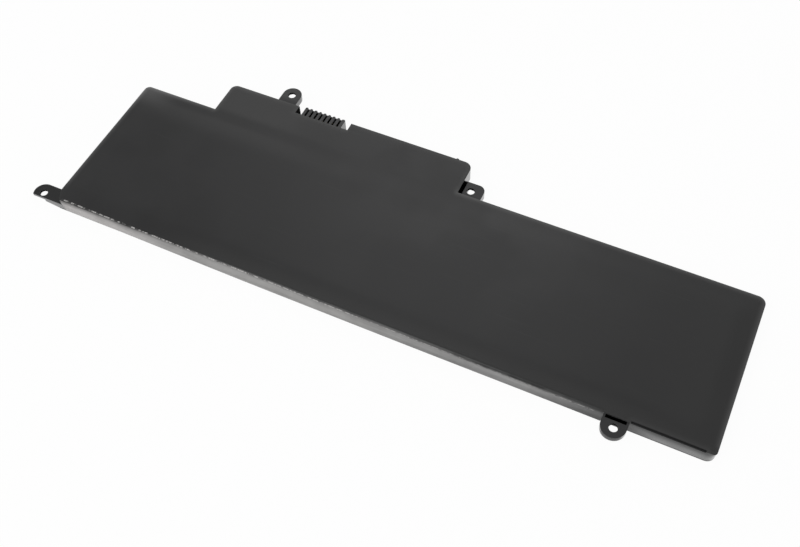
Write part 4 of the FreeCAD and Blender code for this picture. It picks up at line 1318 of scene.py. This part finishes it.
    def stretches(self) -> list[Stretch]:
        """Parts of the length, each with one kind of front and back.

        Returns:
            The parts from left to right.
        """
        stops = [self.inset, self.flap_start, self.strip_left + self.inset,
                 self.notch_left - self.inset, self.notch_right + self.inset,
                 self.strip_right - self.inset, self.flap_end, self.ledge_start, self.ledge_end,
                 self.length - self.inset]
        parts = []
        for left, right in zip(stops, stops[1:]):
            middle = (left + right) / 2
            edge = FrontEdge.PLAIN
            if self.flap_start < middle < self.flap_end:
                edge = FrontEdge.FLAP
            if self.ledge_start < middle < self.ledge_end:
                edge = FrontEdge.LEDGE
            parts.append(Stretch(left, right, edge,
                                 self.strip_left < middle < self.strip_right,
                                 self.notch_left < middle < self.notch_right))
        return parts

    def build(self) -> bpy.types.Object:
        """Builds the film as one mesh.

        Returns:
            The new object, in the frame's metres.
        """
        points: list[Vector] = []
        rims: list[float] = []
        burrs: list[float] = []
        faces: list[tuple[int, ...]] = []
        index_of: dict[tuple[int, int, int], int] = {}

        def number(x: float, y: float, z: float, torn: float) -> int:
            """Makes the vertex at a point, once.

            Args:
                x: Millimetres from the body's left edge.
                y: Millimetres from the body's front face.
                z: Millimetres above the underside.
                torn: 1 at a slit's raised edge and else 0.

            Returns:
                The vertex's number.
            """
            key = (round(x * self.grid), round(y * self.grid), round(z * self.grid))
            if key not in index_of:
                index_of[key] = len(points)
                points.append(self.datum.place(x, y, z))
                near = max(1 - self.rim_distance(x, y) / self.roll_width, 0.0)
                rims.append(near ** 2 if z > self.low_top - self.thickness else 0.0)
                burrs.append(torn)
            return index_of[key]

        for stretch in self.stretches():
            previous: list[int] = []
            for x in self.columns(stretch):
                rows = self.front_rows(x, stretch.front) + self.plate_rows(x, stretch)
                current = [number(x, *row) for row in rows]
                for row in range(len(previous) - 1):
                    corners = (previous[row], current[row], current[row + 1], previous[row + 1])
                    cut = all(burrs[corner] for corner in corners)
                    if len(set(corners)) > 2 and not cut:
                        faces.append(tuple(dict.fromkeys(corners)))
                previous = current
        mesh = bpy.data.meshes.new("film_skin")
        mesh.from_pydata(points, [], faces)
        for name, values in (("rim", rims), ("burr", burrs)):
            mesh.attributes.new(name, "FLOAT", "POINT").data.foreach_set("value", values)
        mesh.shade_smooth()
        piece = bpy.data.objects.new("film_skin", mesh)
        bpy.context.scene.collection.objects.link(piece)
        solid = piece.modifiers.new("thickness", "SOLIDIFY")
        solid.thickness = self.thickness * MM
        solid.offset = -1.0
        sharp = piece.modifiers.new("sharp_rim", "EDGE_SPLIT")
        sharp.split_angle = math.radians(self.sharp_degrees)
        return piece

    def dress(self, wardrobe: Wardrobe) -> bpy.types.Object:
        """Builds the film in place of its plain solid.

        Args:
            wardrobe: Gives the finish.

        Returns:
            The dressed piece.
        """
        piece = self.build()
        wardrobe.dress(piece, COVER_FILM)
        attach(piece, "root")
        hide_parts("cover_film")
        LOG.info("film_skin has %d faces", len(piece.data.polygons))
        return piece


# The other sub-assemblies

@dataclass
class SubAssembly:
    """Nodes of the frame that keep their shape and get a finish."""

    outfit: dict[str, Finish]

    def dress(self, frame: dict, wardrobe: Wardrobe) -> None:
        """Dresses the nodes.

        Args:
            wardrobe: Gives the finishes.
        """
        for name, finish in self.outfit.items():
            wardrobe.dress(frame["nodes"][name], finish)
            LOG.info("node %s wears %s", name, finish.label)


@dataclass
class Housing(SubAssembly):
    """Moulded tray, the sheet over the board bay and the blank label."""

    outfit: dict[str, Finish] = field(default_factory=lambda: {
        "tray": TRAY_PLASTIC,
        "bay_sheet": STIFF_SHEET,
        "underside_label": PLAIN_LABEL,
    })


@dataclass
class BladeConnector(SubAssembly):
    """Ribbed connector and its blades."""

    outfit: dict[str, Finish] = field(default_factory=lambda: {
        "connector_body": CONNECTOR_PLASTIC,
        "connector_contacts": CONTACT_METAL,
    })


@dataclass
class CellRow(SubAssembly):
    """Pouch cells with their tabs, links, tapes and foam."""

    outfit: dict[str, Finish] = field(default_factory=lambda: {
        "cell_left": POUCH_FOIL,
        "cell_middle": POUCH_FOIL,
        "cell_right": POUCH_FOIL,
        "cell_tapes": WHITE_TAPE,
        "negative_tabs": NICKEL,
        "positive_tabs": ALUMINIUM_TAB,
        "series_link_left": NICKEL,
        "series_link_right": NICKEL,
        "negative_lead": NICKEL,
        "positive_lead": NICKEL,
        "terrace_tapes": AMBER_TAPE,
        "cover_tapes": AMBER_TAPE,
        "foam_strips": FOAM,
    })


@dataclass
class ProtectionBoard(SubAssembly):
    """Circuit board with what stands on it."""

    outfit: dict[str, Finish] = field(default_factory=lambda: {
        "circuit_board": BOARD_RESIST,
        "board_pads": NICKEL,
        "power_transistors": CHIP_PLASTIC,
        "sense_resistor": RESISTOR_CERAMIC,
        "fuel_gauge_chip": CHIP_PLASTIC,
        "protector_chip": CHIP_PLASTIC,
        "chip_fuse": CHIP_PLASTIC,
        "ceramic_capacitors": CAPACITOR_CERAMIC,
        "chip_resistors": RESISTOR_CERAMIC,
        "temperature_sensor": SENSOR_BEAD,
        "sensor_flex": FLEXIBLE_TAIL,
    })


# Floor, light and camera

@dataclass
class Studio:
    """Pale floor and soft light around the part."""

    floor_half: float = 3.0
    floor_white: float = 0.96
    paper_colour: Colour = (0.92, 0.92, 0.92)
    horizon: float = 1.1
    zenith: float = 0.3
    dome_low: float = 0.1
    dome_high: float = 0.62

    def build_floor(self) -> None:
        """Makes the floor, which is white to the camera but keeps the shadow."""
        half = self.floor_half
        mesh = bpy.data.meshes.new("floor")
        corners = [(-half, -half, 0), (half, -half, 0), (half, half, 0), (-half, half, 0)]
        mesh.from_pydata(corners, [], [(0, 1, 2, 3)])
        floor = bpy.data.objects.new("floor", mesh)
        bpy.context.scene.collection.objects.link(floor)
        material = bpy.data.materials.new("floor_paper")
        material.use_nodes = True
        sheet = NodeSheet(material.node_tree)
        sheet.tree.nodes.clear()
        paper = sheet.add("ShaderNodeBsdfDiffuse")
        paper.inputs["Color"].default_value = (*self.paper_colour, 1.0)
        glow = sheet.add("ShaderNodeEmission")
        glow.inputs["Strength"].default_value = 1.0
        path = sheet.add("ShaderNodeLightPath")
        seen = sheet.math("ADD", path.outputs["Is Camera Ray"], path.outputs["Is Glossy Ray"])
        seen = sheet.math("ADD", seen, path.outputs["Is Transmission Ray"], clamp=True)
        share = sheet.math("MULTIPLY", seen, self.floor_white)
        mix = sheet.add("ShaderNodeMixShader")
        sheet.join(share, mix.inputs[0])
        sheet.join(paper.outputs[0], mix.inputs[1])
        sheet.join(glow.outputs[0], mix.inputs[2])
        output = sheet.add("ShaderNodeOutputMaterial")
        sheet.join(mix.outputs[0], output.inputs["Surface"])
        mesh.materials.append(material)

    def build_dome(self) -> None:
        """Makes the light from all round, brighter towards the horizon."""
        world = bpy.data.worlds.new("dome")
        world.use_nodes = True
        sheet = NodeSheet(world.node_tree)
        background = world.node_tree.nodes["Background"]
        background.inputs["Color"].default_value = (1.0, 1.0, 1.0, 1.0)
        place = sheet.add("ShaderNodeTexCoord")
        spot = sheet.add("ShaderNodeSeparateXYZ")
        sheet.join(place.outputs["Generated"], spot.inputs[0])
        level = sheet.ramp(spot.outputs["Z"], self.dome_low, self.dome_high,
                           self.horizon, self.zenith)
        sheet.join(level, background.inputs["Strength"])
        bpy.context.scene.world = world

    def add_lamp(self, name: str, place: Vector, aim: Vector, size: float, power: float) -> None:
        """Adds one soft square lamp.

        Args:
            name: The lamp's name.
            place: Where it hangs, in metres.
            aim: What it points at.
            size: Side of the square, in metres.
            power: Power in watts.
        """
        lamp = bpy.data.lights.new(name, "AREA")
        lamp.size = size
        lamp.energy = power
        holder = bpy.data.objects.new(name, lamp)
        holder.location = place
        holder.rotation_mode = "QUATERNION"
        holder.rotation_quaternion = (aim - place).to_track_quat("-Z", "Y")
        bpy.context.scene.collection.objects.link(holder)

    def build(self) -> None:
        """Makes the floor, the dome and the lamps."""
        self.build_floor()
        self.build_dome()
        self.add_lamp("front_lamp", Vector((-0.5, -0.9, 1.1)), Vector((0, 0, 0)), size=1.0, power=10.0)
        self.add_lamp("back_lamp", Vector((-0.25, 0.75, 0.9)), Vector((0, 0.02, 0)), size=0.5, power=2.0)


@dataclass
class Viewpoint:
    """Camera of the photograph, solved from the outline's corners."""

    place: Vector = field(default_factory=lambda: Vector((106.092, -192.691, 297.001)))
    right: Vector = field(default_factory=lambda: Vector((0.903493, 0.427390, -0.032213)))
    forward: Vector = field(default_factory=lambda: Vector((-0.264762, 0.497436, -0.826110)))
    lens: float = 45.513
    sensor: float = 36.0
    nearest: float = 0.01
    farthest: float = 50.0

    def build(self) -> None:
        """Makes the camera and sets it as the scene's own."""
        data = bpy.data.cameras.new("camera")
        data.lens = self.lens
        data.sensor_width = self.sensor
        data.clip_start = self.nearest
        data.clip_end = self.farthest
        camera = bpy.data.objects.new("camera", data)
        upward = self.right.cross(self.forward)
        turned = Matrix((self.right, upward, -self.forward)).transposed()
        camera.matrix_world = Matrix.Translation(self.place * MM) @ turned.to_4x4()
        bpy.context.scene.collection.objects.link(camera)
        bpy.context.scene.camera = camera


def main() -> None:
    """Builds the look of the battery and its surroundings."""
    logging.basicConfig(level=logging.INFO, format="%(name)s: %(message)s")
    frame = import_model()
    bpy.context.scene.view_settings.view_transform = "Standard"
    datum = Datum.from_tray()
    wardrobe = Wardrobe(datum)
    for assembly in (Housing(), BladeConnector(), CellRow(), ProtectionBoard()):
        assembly.dress(frame, wardrobe)
    CoverFilm(datum).dress(wardrobe)
    Studio().build()
    Viewpoint().build()


if __name__ == "__main__":
    main()
